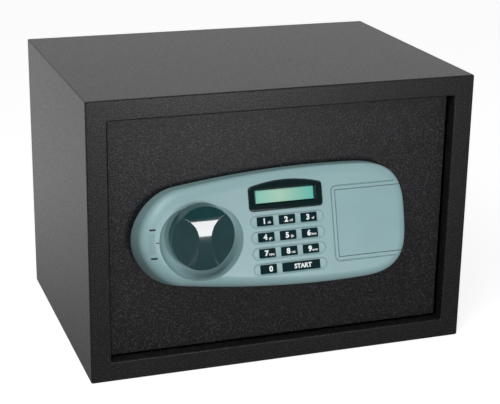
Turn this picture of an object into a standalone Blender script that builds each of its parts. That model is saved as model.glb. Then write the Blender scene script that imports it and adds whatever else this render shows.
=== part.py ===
"""In-room safe: a folded steel cabinet, a recessed door hinged on the right, and a wedge-shaped
control panel with a display, keys, a sliding key cover and a locking knob.

Frame: metres, +Z up. The origin is the centre of the cabinet's underside, and the door faces -Y.
The panel's own frame has +X along the panel, +Y up its sloping face and +Z out of that face.
"""

import math

import bmesh
import bpy
from mathutils import Matrix, Vector

# ---------------------------------------------------------------- driving dimensions (metres)
GAP = 0.0003  # between pieces that touch
OVERCUT = 0.002  # how far a cutter runs past the face it opens

CABINET_WIDTH = 0.350
CABINET_DEPTH = 0.250
CABINET_HEIGHT = 0.250
BODY_SHEET = 0.002
BODY_EDGE_RADIUS = 0.003
FLANGE_WIDTH = 0.018
FLANGE_RETURN = 0.0115
ANCHOR_HOLE_RADIUS = 0.005
ANCHOR_SPACING_X = 0.240
ANCHOR_SPACING_Y = 0.140
MAT_THICKNESS = 0.0025
MAT_MARGIN = 0.004

DOOR_RECESS = 0.011
DOOR_SHEET = 0.004
DOOR_SIDE_GAP = 0.002
DOOR_END_GAP = 0.0015
DOOR_EDGE_RADIUS = 0.0005

HINGE_INSET = 0.008  # pivot to the door's edge
HINGE_SETBACK = 0.008  # pivot behind the door's face
HINGE_PIN_RADIUS = 0.0025
HINGE_PIN_HEAD_RADIUS = 0.0045
HINGE_PIN_HEAD = 0.0018
HINGE_LUG_WIDTH = 0.014
HINGE_LUG_DEPTH = 0.0117
HINGE_LUG_HEIGHT = 0.014
BRACKET_SHEET = 0.0025
BRACKET_DEPTH = 0.016
BRACKET_TAB = 0.032
RUNNING_GAP = 0.0003  # round a pin that turns or slides

PANEL_TILT = math.radians(16)
PANEL_FACE_SETOUT = 0.020  # the face stands this far before the cabinet's front, at mid height
PANEL_LEFT = -0.1345
PANEL_RIGHT = 0.107
PANEL_HALF_HEIGHT = 0.0508
PANEL_RISE = 0.007  # the outline's centre line above the panel frame's origin
PANEL_CROWN_X = 0.030
PANEL_CROWN_RADIUS = 0.874
PANEL_NOSE_LENGTH = 0.035
PANEL_TAIL_LENGTH = 0.048
PANEL_TAIL_POWER = 3.2
PANEL_BEVEL_WIDTH = 0.0085
PANEL_BEVEL_DROP = 0.005
PANEL_DRAFT = 0.0015
PANEL_WALL = 0.0025
PANEL_SCREW_RADIUS = 0.002
PANEL_SCREW_HEAD_RADIUS = 0.004
PANEL_SCREW_HEAD = 0.0025
PANEL_SCREW_GRIP = 0.012
PANEL_BOSS_RADIUS = 0.004
PANEL_BOSS_PLACES = ((-0.098, -0.035), (-0.042, 0.038), (0.038, -0.039), (0.038, 0.040))  # from mid height

KNOB_X = -0.082
KNOB_RISE = 0.0075  # above the cabinet's mid height
KNOB_RADIUS = 0.0275
KNOB_HEIGHT = 0.017
KNOB_LIFT = 0.001  # above the cup's floor
KNOB_WAIST = 0.010
KNOB_SCOOP_RADIUS = 0.055
KNOB_SCOOP_DEPTH = 0.0135
KNOB_EDGE_RADIUS = 0.0012
CUP_FLOOR_BEHIND_FACE = 0.0088  # behind the panel's face at mid height
CUP_FLOOR_INSET = 0.0015  # inside the knob's rim
CUP_FILLET = 0.0115

SPINDLE_RADIUS = 0.004
SPINDLE_COLLAR_RADIUS = 0.009
SPINDLE_COLLAR = 0.002
SPINDLE_SOCKET = 0.009
SPINDLE_HOLE_SLACK = 0.003

DISPLAY_X = -0.0048
DISPLAY_RISE = 0.0361
DISPLAY_WIDTH = 0.0665
DISPLAY_HEIGHT = 0.0248
DISPLAY_ARCH = 0.004
DISPLAY_CORNER = 0.003
DISPLAY_POCKET = 0.001
DISPLAY_STAND = 0.0012
WINDOW_X = -0.0052
WINDOW_RISE = 0.0354
WINDOW_WIDTH = 0.0536
WINDOW_HEIGHT = 0.0118
WINDOW_SHEET = 0.0012

KEY_WIDTH = 0.0143
KEY_HEIGHT = 0.0072
KEY_PITCH_X = 0.0199
KEY_PITCH_Y = 0.0137
KEY_MIDDLE_X = -0.0047
KEY_TOP_RISE = 0.0147
KEY_STAND = 0.0002
KEY_SKIRT = 0.001
KEY_SKIRT_WIDER = 0.0010
KEY_TRAVEL = 0.0012
CHANNEL_LENGTH = 0.0665
CHANNEL_HEIGHT = 0.0100
CHANNEL_DEPTH = 0.0008
KEYPAD_MAT_SHEET = 0.0008
BOARD_SHEET = 0.0016
BOARD_LEFT = -0.0365
BOARD_RIGHT = 0.0315
BOARD_BOTTOM = -0.0350
BOARD_TOP = 0.0475
BOARD_POST_RADIUS = 0.0020

COVER_LEFT = 0.0407
COVER_BOTTOM = -0.0228
COVER_TOP = 0.0352
COVER_SHEET = 0.0022
COVER_SKIRT = 0.006
COVER_BORDER = 0.0042
COVER_BORDER_DROP = 0.0006
COVER_CORNER = 0.005
RECESS_SIDE_GAP = 0.001  # round the lock's flange
RECESS_KEY_ROOM = 0.003  # right of the lock flange
RECESS_HEIGHT = 0.044
RECESS_RISE = 0.005  # the recess's middle above mid height
RECESS_DEPTH = 0.012  # behind the panel's face at mid height

LOCK_X = 0.0535
LOCK_RISE = 0.005
LOCK_BARREL_RADIUS = 0.0085
LOCK_FLANGE_LIP = 0.0015  # past the barrel
LOCK_FLANGE = 0.0020
LOCK_PLUG_RADIUS = 0.0050
LOCK_PLUG_STUB_RADIUS = 0.003
LOCK_KEYWAY_WIDTH = 0.0014
LOCK_KEYWAY_LENGTH = 0.0068
LOCK_KEYWAY_DEPTH = 0.012
LOCK_NUT_WALL = 0.0045
LOCK_NUT = 0.005
LOCK_BEHIND_DOOR = 0.0065
LOCK_CAM_LENGTH = 0.024
LOCK_CAM_SHEET = 0.003

BOLT_RADIUS = 0.0095
BOLT_LENGTH = 0.0355
BOLT_PITCH = 0.080
BOLT_SETBACK = 0.0117  # axis behind the door's back
BOLT_PROUD = 0.0005  # past the door's edge at rest
GUIDE_SHEET = 0.0025
GUIDE_INSET = 0.017
GUIDE_DEPTH = 0.026
GUIDE_MARGIN = 0.022
GUIDE_FOOT = 0.0065
CARRIAGE_SHEET = 0.003
CARRIAGE_PAST_KNOB = 0.0223  # its right edge beyond the knob's axis
CARRIAGE_MARGIN = 0.014
CARRIAGE_SETBACK = 0.0095
CAM_SHEET = 0.004
CAM_SETBACK = 0.0033
CAM_ARM = 0.030
CAM_HUB_RADIUS = 0.010
CAM_TIP_RADIUS = 0.006
CAM_PIN_RADIUS = 0.0025
CAM_SLOT_SLACK = 0.0005
CAM_SLOT_LENGTH = 0.010
CARRIAGE_TRAVEL = 0.008
STUD_RADIUS = 0.003
STUD_HEAD_RADIUS = 0.005
STUD_HEAD = 0.0025
STUD_PAST_KNOB = 0.010
STUD_PITCH = 0.080
STUD_SLOT_SLACK = 0.001

SOLENOID_X = -0.005
SOLENOID_RISE = 0.053
SOLENOID_WIDTH = 0.030
SOLENOID_HEIGHT = 0.022
SOLENOID_DEPTH = 0.020
PLUNGER_RADIUS = 0.0035
PLUNGER_OUT = 0.012
PLUNGER_IN = 0.018

CASE_BOLT_SIDE_INSET = 0.0115  # from the door's edges
CASE_HINGE_SIDE_INSET = 0.0275
CASE_END_INSET = 0.0165
CASE_DEPTH = 0.046
CASE_SHEET = 0.0015
CASE_EDGE_RADIUS = 0.001
CASE_SCREW_RADIUS = 0.002
CASE_SCREW_HEAD_RADIUS = 0.004
CASE_SCREW_HEAD = 0.0025
CASE_SCREW_INSET = 0.0155

CELL_RADIUS = 0.0071
CELL_LENGTH = 0.0495
CELL_NUB_RADIUS = 0.0028
CELL_NUB = 0.001
CELL_PITCH = 0.0155
CELL_COUNT = 4
TRAY_X = 0.055
TRAY_DROP = 0.033  # its underside below mid height
TRAY_WALL = 0.0015
TRAY_SLACK = 0.0004
TRAY_LIP = 0.004
LID_SHEET = 0.002
LID_MARGIN = 0.003

BUTTON_X = 0.108
BUTTON_RISE = 0.025
BUTTON_RADIUS = 0.004
BUTTON_FLANGE_RADIUS = 0.0055
BUTTON_FLANGE = 0.0015
BUTTON_STAND = 0.0025

GROMMET_X = 0.012
GROMMET_DROP = 0.025
GROMMET_HOLE_RADIUS = 0.004
GROMMET_NECK_RADIUS = 0.0065
GROMMET_FLANGE_RADIUS = 0.009
GROMMET_FLANGE = 0.002

ROUND_STEPS = 32
SMALL_ROUND_STEPS = 20

# ---------------------------------------------------------------- places worked out from them
FRONT = -CABINET_DEPTH / 2
MIDDLE = CABINET_HEIGHT / 2
BACK = CABINET_DEPTH / 2
OPENING_HALF = CABINET_WIDTH / 2 - FLANGE_WIDTH
OPENING_BOTTOM = FLANGE_WIDTH
OPENING_TOP = CABINET_HEIGHT - FLANGE_WIDTH
DOOR_FRONT = FRONT + DOOR_RECESS
DOOR_BACK = DOOR_FRONT + DOOR_SHEET
DOOR_HALF = OPENING_HALF - DOOR_SIDE_GAP
DOOR_BOTTOM = OPENING_BOTTOM + DOOR_END_GAP
DOOR_TOP = OPENING_TOP - DOOR_END_GAP
BEHIND = DOOR_BACK + GAP  # where a piece seated on the door's back starts
PIVOT = Vector((DOOR_HALF - HINGE_INSET, DOOR_FRONT + HINGE_SETBACK, 0))
PANEL_ORIGIN = Vector((0, FRONT - PANEL_FACE_SETOUT, MIDDLE))
PANEL_TURN = math.radians(90) - PANEL_TILT
PANEL_BOSSES = [(x, MIDDLE + rise) for x, rise in PANEL_BOSS_PLACES]
KNOB_Z = MIDDLE + KNOB_RISE
CUP_FLOOR = PANEL_ORIGIN.y + CUP_FLOOR_BEHIND_FACE
CUP_FLOOR_RADIUS = KNOB_RADIUS - CUP_FLOOR_INSET
CUP_RADIUS = CUP_FLOOR_RADIUS + CUP_FILLET
RECESS_FLOOR = PANEL_ORIGIN.y + RECESS_DEPTH
RECESS_BOTTOM = MIDDLE + RECESS_RISE - RECESS_HEIGHT / 2
RECESS_TOP = RECESS_BOTTOM + RECESS_HEIGHT
LOCK_Z = MIDDLE + LOCK_RISE
LOCK_FLANGE_RADIUS = LOCK_BARREL_RADIUS + LOCK_FLANGE_LIP
RECESS_LEFT = LOCK_X - LOCK_FLANGE_RADIUS - RECESS_SIDE_GAP
RECESS_RIGHT = LOCK_X + LOCK_FLANGE_RADIUS + RECESS_KEY_ROOM
LOCK_NUT_RADIUS = LOCK_BARREL_RADIUS + LOCK_NUT_WALL
SKIRT_TOP = -PANEL_WALL - GAP
SKIRT_BOTTOM = SKIRT_TOP - KEY_SKIRT
MAT_TOP = SKIRT_BOTTOM - KEY_TRAVEL - GAP
BOARD_FACE = MAT_TOP - KEYPAD_MAT_SHEET - GAP
BOLT_Y = DOOR_BACK + BOLT_SETBACK
BOLT_TIP_X = -DOOR_HALF - BOLT_PROUD
BOLT_ZS = (MIDDLE - BOLT_PITCH / 2, MIDDLE + BOLT_PITCH / 2)
CARRIAGE_LEFT = BOLT_TIP_X + BOLT_LENGTH + GAP
CARRIAGE_RIGHT = KNOB_X + CARRIAGE_PAST_KNOB
CARRIAGE_Y = DOOR_BACK + CARRIAGE_SETBACK
CAM_Y = DOOR_BACK + CAM_SETBACK
STUD_X = KNOB_X + STUD_PAST_KNOB
GUIDE_X = -DOOR_HALF + GUIDE_INSET
SOLENOID_Z = MIDDLE + SOLENOID_RISE
CASE_LEFT = -DOOR_HALF + CASE_BOLT_SIDE_INSET
CASE_RIGHT = DOOR_HALF - CASE_HINGE_SIDE_INSET
CASE_BOTTOM = DOOR_BOTTOM + CASE_END_INSET
CASE_TOP = DOOR_TOP - CASE_END_INSET
CASE_FACE = DOOR_BACK + CASE_DEPTH
TRAY_BOTTOM = MIDDLE - TRAY_DROP
TRAY_WIDTH = CELL_COUNT * CELL_PITCH + 2 * TRAY_WALL
TRAY_LEFT = TRAY_X - TRAY_WIDTH / 2
TRAY_TOP = TRAY_BOTTOM + CELL_LENGTH + CELL_NUB + 2 * TRAY_WALL + 2 * TRAY_SLACK
TRAY_BACK = CASE_FACE - CASE_SHEET - GAP
TRAY_FRONT = TRAY_BACK - 2 * CELL_RADIUS - 2 * TRAY_SLACK - TRAY_WALL
BUTTON_Z = MIDDLE + BUTTON_RISE
GROMMET_Z = MIDDLE - GROMMET_DROP

COLOURS = {  # name: (colour, roughness, metallic)
    "cabinet_paint": ((0.062, 0.060, 0.064, 1), 0.5, 0.0),
    "door_paint": ((0.045, 0.043, 0.047, 1), 0.55, 0.0),
    "panel_plastic": ((0.42, 0.56, 0.58, 1), 0.4, 0.0),
    "cover_plastic": ((0.33, 0.50, 0.51, 1), 0.45, 0.0),
    "dark_gloss": ((0.006, 0.020, 0.020, 1), 0.15, 0.0),
    "display_glass": ((0.33, 0.66, 0.55, 1), 0.12, 0.0),
    "knob_plastic": ((0.025, 0.080, 0.085, 1), 0.12, 0.0),
    "key_rubber": ((0.006, 0.012, 0.014, 1), 0.4, 0.0),
    "bright_steel": ((0.60, 0.60, 0.60, 1), 0.25, 1.0),
    "zinc_steel": ((0.48, 0.49, 0.50, 1), 0.4, 1.0),
    "brass": ((0.62, 0.47, 0.20, 1), 0.3, 1.0),
    "case_plastic": ((0.05, 0.05, 0.055, 1), 0.6, 0.0),
    "black_plastic": ((0.012, 0.012, 0.013, 1), 0.5, 0.0),
    "board_green": ((0.01, 0.12, 0.05, 1), 0.5, 0.0),
    "mat_felt": ((0.02, 0.02, 0.024, 1), 0.95, 0.0),
    "cell_jacket": ((0.02, 0.03, 0.05, 1), 0.3, 0.0),
    "red_plastic": ((0.55, 0.02, 0.02, 1), 0.35, 0.0),
}


# ---------------------------------------------------------------- modelling helpers
def clear_scene():
    for obj in list(bpy.data.objects):
        bpy.data.objects.remove(obj, do_unlink=True)


def material(name):
    """The Principled material of this name, made once."""
    found = bpy.data.materials.get(name)
    if found:
        return found
    colour, roughness, metallic = COLOURS[name]
    made = bpy.data.materials.new(name)
    made.use_nodes = True
    shader = made.node_tree.nodes["Principled BSDF"]
    shader.inputs["Base Color"].default_value = colour
    shader.inputs["Roughness"].default_value = roughness
    shader.inputs["Metallic"].default_value = metallic
    made.diffuse_color = colour
    return made


def empty(name, location, rotation=(0, 0, 0), parent=None):
    made = bpy.data.objects.new(name, None)
    made.location = location
    made.rotation_euler = rotation
    made.parent = parent
    made.empty_display_size = 0.02
    bpy.context.scene.collection.objects.link(made)
    return made


def part(name, mesh, finish, parent=None, location=(0, 0, 0), rotation=(0, 0, 0)):
    """An object from a bmesh, in its parent's frame."""
    data = bpy.data.meshes.new(name)
    bmesh.ops.recalc_face_normals(mesh, faces=mesh.faces)
    mesh.to_mesh(data)
    mesh.free()
    data.materials.append(material(finish))
    data.shade_smooth()
    data.set_sharp_from_angle(angle=math.radians(35))
    made = bpy.data.objects.new(name, data)
    made.parent = parent
    made.location = location
    made.rotation_euler = rotation
    bpy.context.scene.collection.objects.link(made)
    return made


def box(low, high):
    """A box between two corners."""
    mesh = bmesh.new()
    size = Vector(high) - Vector(low)
    middle = (Vector(high) + Vector(low)) / 2
    bmesh.ops.create_cube(mesh, size=1, matrix=Matrix.Translation(middle) @ Matrix.Diagonal((*size, 1)))
    return mesh


def prism(outline, low, high):
    """A closed prism: the outline's (x, y) points raised from z = low to z = high."""
    mesh = bmesh.new()
    face = mesh.faces.new([mesh.verts.new((x, y, low)) for x, y in outline])
    raised = bmesh.ops.extrude_face_region(mesh, geom=[face])
    verts = [v for v in raised["geom"] if isinstance(v, bmesh.types.BMVert)]
    bmesh.ops.translate(mesh, vec=(0, 0, high - low), verts=verts)
    return mesh


def turned(profile, steps=ROUND_STEPS):
    """A closed turning about local Z: the profile's (radius, z) points go up the outside, or all
    the way round a ring when its first and last points are off the axis."""
    mesh = bmesh.new()
    rings = []
    for radius, z in profile:
        if radius < 1e-7:
            rings.append([mesh.verts.new((0, 0, z))])
            continue
        angles = [2 * math.pi * i / steps for i in range(steps)]
        rings.append([mesh.verts.new((radius * math.cos(a), radius * math.sin(a), z)) for a in angles])
    closed = len(rings[0]) > 1
    pairs = list(zip(rings, rings[1:])) + ([(rings[-1], rings[0])] if closed else [])
    for lower, upper in pairs:
        for i in range(steps):
            j = (i + 1) % steps
            below = [lower[i % len(lower)], lower[j % len(lower)]]
            corners = below + [upper[j % len(upper)], upper[i % len(upper)]]
            mesh.faces.new(list(dict.fromkeys(corners)))
    return mesh


def rod(radius, low, high, steps=ROUND_STEPS):
    return turned([(0, low), (radius, low), (radius, high), (0, high)], steps)


def arc(centre, radius, start, end, steps):
    """Points along an arc, angles in degrees."""
    angles = [math.radians(start + (end - start) * i / steps) for i in range(steps + 1)]
    return [(centre[0] + radius * math.cos(a), centre[1] + radius * math.sin(a)) for a in angles]


def rounded_rectangle(low, high, radius, steps=5):
    x0, y0 = low
    x1, y1 = high
    return (
        arc((x1 - radius, y0 + radius), radius, -90, 0, steps)
        + arc((x1 - radius, y1 - radius), radius, 0, 90, steps)
        + arc((x0 + radius, y1 - radius), radius, 90, 180, steps)
        + arc((x0 + radius, y0 + radius), radius, 180, 270, steps)
    )


def slot(middle, length, height, steps=8):
    """A round-ended slot along x."""
    x, y = middle
    reach = (length - height) / 2
    return arc((x + reach, y), height / 2, -90, 90, steps) + arc((x - reach, y), height / 2, 90, 270, steps)


def combine(target, mesh, operation, name, parent=None, location=(0, 0, 0), rotation=(0, 0, 0)):
    """Adds a Boolean to the target, with the mesh as its hidden cutter. The cutter is returned."""
    cutter = part(name, mesh, "black_plastic", parent, location, rotation)
    cutter.hide_render = True
    cutter.display_type = "WIRE"
    modifier = target.modifiers.new(name, "BOOLEAN")
    modifier.operation = operation
    modifier.object = cutter
    modifier.solver = "EXACT"
    return cutter


def cut(target, mesh, name, **place):
    return combine(target, mesh, "DIFFERENCE", name, **place)


def add(target, mesh, name, **place):
    return combine(target, mesh, "UNION", name, **place)


def rounded(target, width, segments=2, angle=40):
    modifier = target.modifiers.new("Rounded edges", "BEVEL")
    modifier.width = width
    modifier.segments = segments
    modifier.limit_method = "ANGLE"
    modifier.angle_limit = math.radians(angle)


def facing(axis):
    """Turns a turning's local Z along +X, -X or +Y or -Y."""
    quarter = math.pi / 2
    turns = {"+X": (0, quarter, 0), "-X": (0, -quarter, 0), "+Y": (-quarter, 0, 0), "-Y": (quarter, 0, 0)}
    return turns[axis]


# ---------------------------------------------------------------- cabinet
def make_cabinet():
    half = CABINET_WIDTH / 2
    solid = box((-half, FRONT, 0), (half, BACK, CABINET_HEIGHT))
    folded = [e for e in solid.edges if any(v.co.y < 0 for v in e.verts)]
    bmesh.ops.bevel(solid, geom=folded, offset=BODY_EDGE_RADIUS, segments=3, affect="EDGES", profile=0.5)
    shell = part("cabinet_shell", solid, "cabinet_paint")
    wall = BODY_SHEET
    inner_low = Vector((-half + wall, FRONT + wall, wall))
    inner_high = Vector((half - wall, BACK + 2 * OVERCUT, CABINET_HEIGHT - wall))
    return_end = FRONT + FLANGE_RETURN
    cut(shell, box((inner_low.x, return_end, inner_low.z), inner_high), "cut_cavity")
    rim = cut(
        shell,
        box(inner_low, (inner_high.x, return_end + OVERCUT, inner_high.z)),
        "cut_behind_flange",
    )
    cut(
        rim,
        box(
            (-OPENING_HALF - wall, FRONT, OPENING_BOTTOM - wall),
            (OPENING_HALF + wall, return_end + 2 * OVERCUT, OPENING_TOP + wall),
        ),
        "keep_flange_return",
    )
    cut(
        shell,
        box(
            (-OPENING_HALF, FRONT - OVERCUT, OPENING_BOTTOM),
            (OPENING_HALF, return_end + OVERCUT, OPENING_TOP),
        ),
        "cut_door_opening",
    )
    for i, x in enumerate((-ANCHOR_SPACING_X / 2, ANCHOR_SPACING_X / 2)):
        for j, y in enumerate((-ANCHOR_SPACING_Y / 2, ANCHOR_SPACING_Y / 2)):
            hole = rod(ANCHOR_HOLE_RADIUS, -OVERCUT, wall + OVERCUT, SMALL_ROUND_STEPS)
            cut(shell, hole, f"cut_base_anchor_{i}{j}", location=(x, y, 0))
    panel = part(
        "back_panel",
        box(
            (-half + wall + GAP, BACK - wall, wall + GAP),
            (half - wall - GAP, BACK, CABINET_HEIGHT - wall - GAP),
        ),
        "cabinet_paint",
    )
    for i, x in enumerate((-ANCHOR_SPACING_X / 2, ANCHOR_SPACING_X / 2)):
        hole = rod(ANCHOR_HOLE_RADIUS, -OVERCUT, wall + OVERCUT, SMALL_ROUND_STEPS)
        place = (x, BACK - wall, CABINET_HEIGHT / 2)
        cut(panel, hole, f"cut_back_anchor_{i}", location=place, rotation=facing("+Y"))
    part(
        "floor_mat",
        box(
            (-half + wall + MAT_MARGIN, return_end + MAT_MARGIN, wall + GAP),
            (half - wall - MAT_MARGIN, BACK - wall - MAT_MARGIN, wall + GAP + MAT_THICKNESS),
        ),
        "mat_felt",
    )


def make_hinge(name, door_axis, sign, lug_end, plate_start):
    """One hinge: sign is +1 for the upper one and -1 for the lower. lug_end is the door's edge and
    plate_start the face of the bracket next to it."""
    wall_x = CABINET_WIDTH / 2 - BODY_SHEET - GAP
    plate_end = plate_start + sign * BRACKET_SHEET
    tab_end = plate_end - sign * BRACKET_TAB
    left = PIVOT.x - BRACKET_DEPTH / 2
    front = FRONT + FLANGE_RETURN + GAP
    outline = [
        (left, plate_start),
        (left, plate_end),
        (wall_x, plate_end),
        (wall_x, tab_end),
        (wall_x - BRACKET_SHEET, tab_end),
        (wall_x - BRACKET_SHEET, plate_start),
    ]
    bracket = part(
        f"hinge_bracket_{name}",
        prism(outline, 0, BRACKET_DEPTH),
        "zinc_steel",
        location=(0, front + BRACKET_DEPTH, 0),
        rotation=facing("-Y"),
    )
    hole = rod(HINGE_PIN_RADIUS + RUNNING_GAP, -0.01, 0.01, SMALL_ROUND_STEPS)
    cut(bracket, hole, f"cut_bracket_{name}", location=(PIVOT.x, PIVOT.y, plate_start))
    head = plate_end + sign * GAP
    shank_end = lug_end - sign * (HINGE_LUG_HEIGHT - HINGE_PIN_RADIUS)
    profile = [
        (0, shank_end),
        (HINGE_PIN_RADIUS, shank_end),
        (HINGE_PIN_RADIUS, head),
        (HINGE_PIN_HEAD_RADIUS, head),
        (HINGE_PIN_HEAD_RADIUS, head + sign * HINGE_PIN_HEAD),
        (0, head + sign * HINGE_PIN_HEAD),
    ]
    pin = turned(profile, SMALL_ROUND_STEPS)
    part(f"hinge_pin_{name}", pin, "bright_steel", location=(PIVOT.x, PIVOT.y, 0))
    low, high = sorted((lug_end, lug_end - sign * HINGE_LUG_HEIGHT))
    lug = part(
        f"hinge_lug_{name}",
        box(
            (-HINGE_LUG_WIDTH / 2, BEHIND - PIVOT.y, low),
            (HINGE_LUG_WIDTH / 2, BEHIND + HINGE_LUG_DEPTH - PIVOT.y, high),
        ),
        "zinc_steel",
        door_axis,
    )
    hole = rod(HINGE_PIN_RADIUS + RUNNING_GAP, low - OVERCUT, high + OVERCUT, SMALL_ROUND_STEPS)
    cut(lug, hole, f"cut_lug_{name}", parent=door_axis)


# ---------------------------------------------------------------- door
def make_door(door):
    plate = part(
        "door_plate",
        box((-DOOR_HALF, DOOR_FRONT, DOOR_BOTTOM), (DOOR_HALF, DOOR_BACK, DOOR_TOP)),
        "door_paint",
        door,
    )
    rounded(plate, DOOR_EDGE_RADIUS, 1)
    holes = [
        ("knob", KNOB_X, KNOB_Z, SPINDLE_RADIUS + SPINDLE_HOLE_SLACK),
        ("lock", LOCK_X, LOCK_Z, LOCK_BARREL_RADIUS + GAP),
        ("cable", GROMMET_X, GROMMET_Z, GROMMET_NECK_RADIUS + GAP),
    ]
    holes += [(f"screw_{i}", x, z, PANEL_SCREW_RADIUS + GAP) for i, (x, z) in enumerate(PANEL_BOSSES)]
    for name, x, z, radius in holes:
        hole = rod(radius, -OVERCUT, DOOR_SHEET + OVERCUT, SMALL_ROUND_STEPS)
        cut(plate, hole, f"cut_door_{name}", parent=door, location=(x, DOOR_FRONT, z), rotation=facing("+Y"))
    front = DOOR_FRONT - GAP
    profile = [
        (GROMMET_HOLE_RADIUS, front - GROMMET_FLANGE),
        (GROMMET_FLANGE_RADIUS, front - GROMMET_FLANGE),
        (GROMMET_FLANGE_RADIUS, front),
        (GROMMET_NECK_RADIUS, front),
        (GROMMET_NECK_RADIUS, BEHIND),
        (GROMMET_FLANGE_RADIUS, BEHIND),
        (GROMMET_FLANGE_RADIUS, BEHIND + GROMMET_FLANGE),
        (GROMMET_HOLE_RADIUS, BEHIND + GROMMET_FLANGE),
    ]
    part(
        "cable_grommet",
        turned(profile, SMALL_ROUND_STEPS),
        "black_plastic",
        door,
        (GROMMET_X, 0, GROMMET_Z),
        facing("+Y"),
    )


# ---------------------------------------------------------------- control panel
def half_height(x):
    """Half the panel's height at x: a long crowned arc that closes in an oval nose at the left
    and in a squarer tail at the right."""
    crown = PANEL_HALF_HEIGHT - (x - PANEL_CROWN_X) ** 2 / (2 * PANEL_CROWN_RADIUS)
    nose = max(0.0, (PANEL_LEFT + PANEL_NOSE_LENGTH - x) / PANEL_NOSE_LENGTH)
    tail = max(0.0, (x - PANEL_RIGHT + PANEL_TAIL_LENGTH) / PANEL_TAIL_LENGTH)
    nose_factor = math.sqrt(max(0.0, 1 - nose**2))
    tail_factor = max(0.0, 1 - tail**PANEL_TAIL_POWER) ** (1 / PANEL_TAIL_POWER)
    return crown * nose_factor * tail_factor


def panel_stations():
    """The x values of the outline's points, closer together round both ends."""
    nose_steps, side_steps, tail_steps = 9, 9, 9
    nose_end = PANEL_LEFT + PANEL_NOSE_LENGTH
    tail_start = PANEL_RIGHT - PANEL_TAIL_LENGTH
    quarter = math.pi / 2
    nose = [nose_end - PANEL_NOSE_LENGTH * math.cos(quarter * i / nose_steps) for i in range(nose_steps)]
    side = [nose_end + (tail_start - nose_end) * i / side_steps for i in range(side_steps)]
    tail = [
        tail_start + PANEL_TAIL_LENGTH * math.sin(quarter * i / tail_steps) ** (2 / PANEL_TAIL_POWER)
        for i in range(tail_steps + 1)
    ]
    return nose + side + tail


def panel_outline(offset=0.0):
    """The outline's (x, y) points in the panel's frame, moved outwards by the offset."""
    stations = panel_stations()
    upper = [(x, half_height(x)) for x in stations]
    lower = [(x, -half_height(x)) for x in stations[1:-1]]
    points = [Vector(p) for p in lower + upper[::-1]]
    moved = []
    for i, point in enumerate(points):
        along = points[(i + 1) % len(points)] - points[i - 1]
        outward = Vector((along.y, -along.x)).normalized()
        moved.append(point + outward * offset + Vector((0, PANEL_RISE)))
    return moved


def door_level(y):
    """The height in the panel's frame at which a wall meets the door, at y up the face."""
    depth = DOOR_FRONT - GAP - PANEL_ORIGIN.y
    return (y * math.sin(PANEL_TILT) - depth) / math.cos(PANEL_TILT)


def lofted(rings):
    """A closed body through rings of equal count, capped at both ends."""
    mesh = bmesh.new()
    made = [[mesh.verts.new(point) for point in ring] for ring in rings]
    for lower, upper in zip(made, made[1:]):
        for i in range(len(lower)):
            j = (i + 1) % len(lower)
            mesh.faces.new((lower[i], lower[j], upper[j], upper[i]))
    mesh.faces.new(made[0][::-1])
    mesh.faces.new(made[-1])
    return mesh


def panel_body(inset, drop, below_door=0.0):
    """The panel's solid form, its walls moved in by inset and its face lowered by drop."""
    rings = []
    foot = panel_outline(PANEL_DRAFT - inset)
    rings.append([(p.x, p.y, door_level(p.y) - below_door) for p in foot])
    for step in range(5):
        angle = math.pi / 2 * step / 4
        bevel_in = PANEL_BEVEL_WIDTH * (1 - math.cos(angle))
        height = -PANEL_BEVEL_DROP * (1 - math.sin(angle)) - drop
        rings.append([(p.x, p.y, height) for p in panel_outline(-inset - bevel_in)])
    return lofted(rings)


def cup_profile(wall, out):
    """The cup's profile about the knob's axis, as (radius, distance before the cup's floor)."""
    curve = arc((CUP_FLOOR_RADIUS, CUP_FILLET), CUP_FILLET + wall, -90, 0, 6)
    return [(0, -wall), *curve, (CUP_RADIUS + wall, out), (0, out)]


def key_places():
    """Each key's name, middle and width in the panel's frame."""
    digits = iter((1, 2, 3, 4, 5, 6, 7, 8, 9))
    for row in range(3):
        for column in (-1, 0, 1):
            middle = (KEY_MIDDLE_X + column * KEY_PITCH_X, KEY_TOP_RISE - row * KEY_PITCH_Y)
            yield f"key_{next(digits)}", middle, KEY_WIDTH
    low = KEY_TOP_RISE - 3 * KEY_PITCH_Y
    yield "key_0", (KEY_MIDDLE_X - KEY_PITCH_X, low), KEY_WIDTH
    yield "key_start", (KEY_MIDDLE_X + KEY_PITCH_X / 2, low), KEY_WIDTH + KEY_PITCH_X


def around(middle, width, height, spare=0.0):
    """The low and high corners of a rectangle about a middle, grown by spare on every side."""
    x, y = middle
    return (x - width / 2 - spare, y - height / 2 - spare), (x + width / 2 + spare, y + height / 2 + spare)


def display_outline(spare=0.0):
    """The display bezel: a rectangle with round corners whose top edge is arched."""
    half = DISPLAY_WIDTH / 2 + spare
    low = DISPLAY_RISE - DISPLAY_HEIGHT / 2 - spare
    shoulder = DISPLAY_RISE + DISPLAY_HEIGHT / 2 - DISPLAY_ARCH + spare
    corner = DISPLAY_CORNER
    steps = 10
    span = half - corner
    top = [
        (span * (1 - 2 * i / steps), shoulder + DISPLAY_ARCH * (1 - (1 - 2 * i / steps) ** 2))
        for i in range(1, steps)
    ]
    outline = (
        arc((half - corner, low + corner), corner, -90, 0, 4)
        + arc((half - corner, shoulder - corner), corner, 0, 90, 4)
        + top
        + arc((-half + corner, shoulder - corner), corner, 90, 180, 4)
        + arc((-half + corner, low + corner), corner, 180, 270, 4)
    )
    return [(DISPLAY_X + x, y) for x, y in outline]


def flat_box(low, high, bottom, top):
    return box((*low, bottom), (*high, top))


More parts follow.
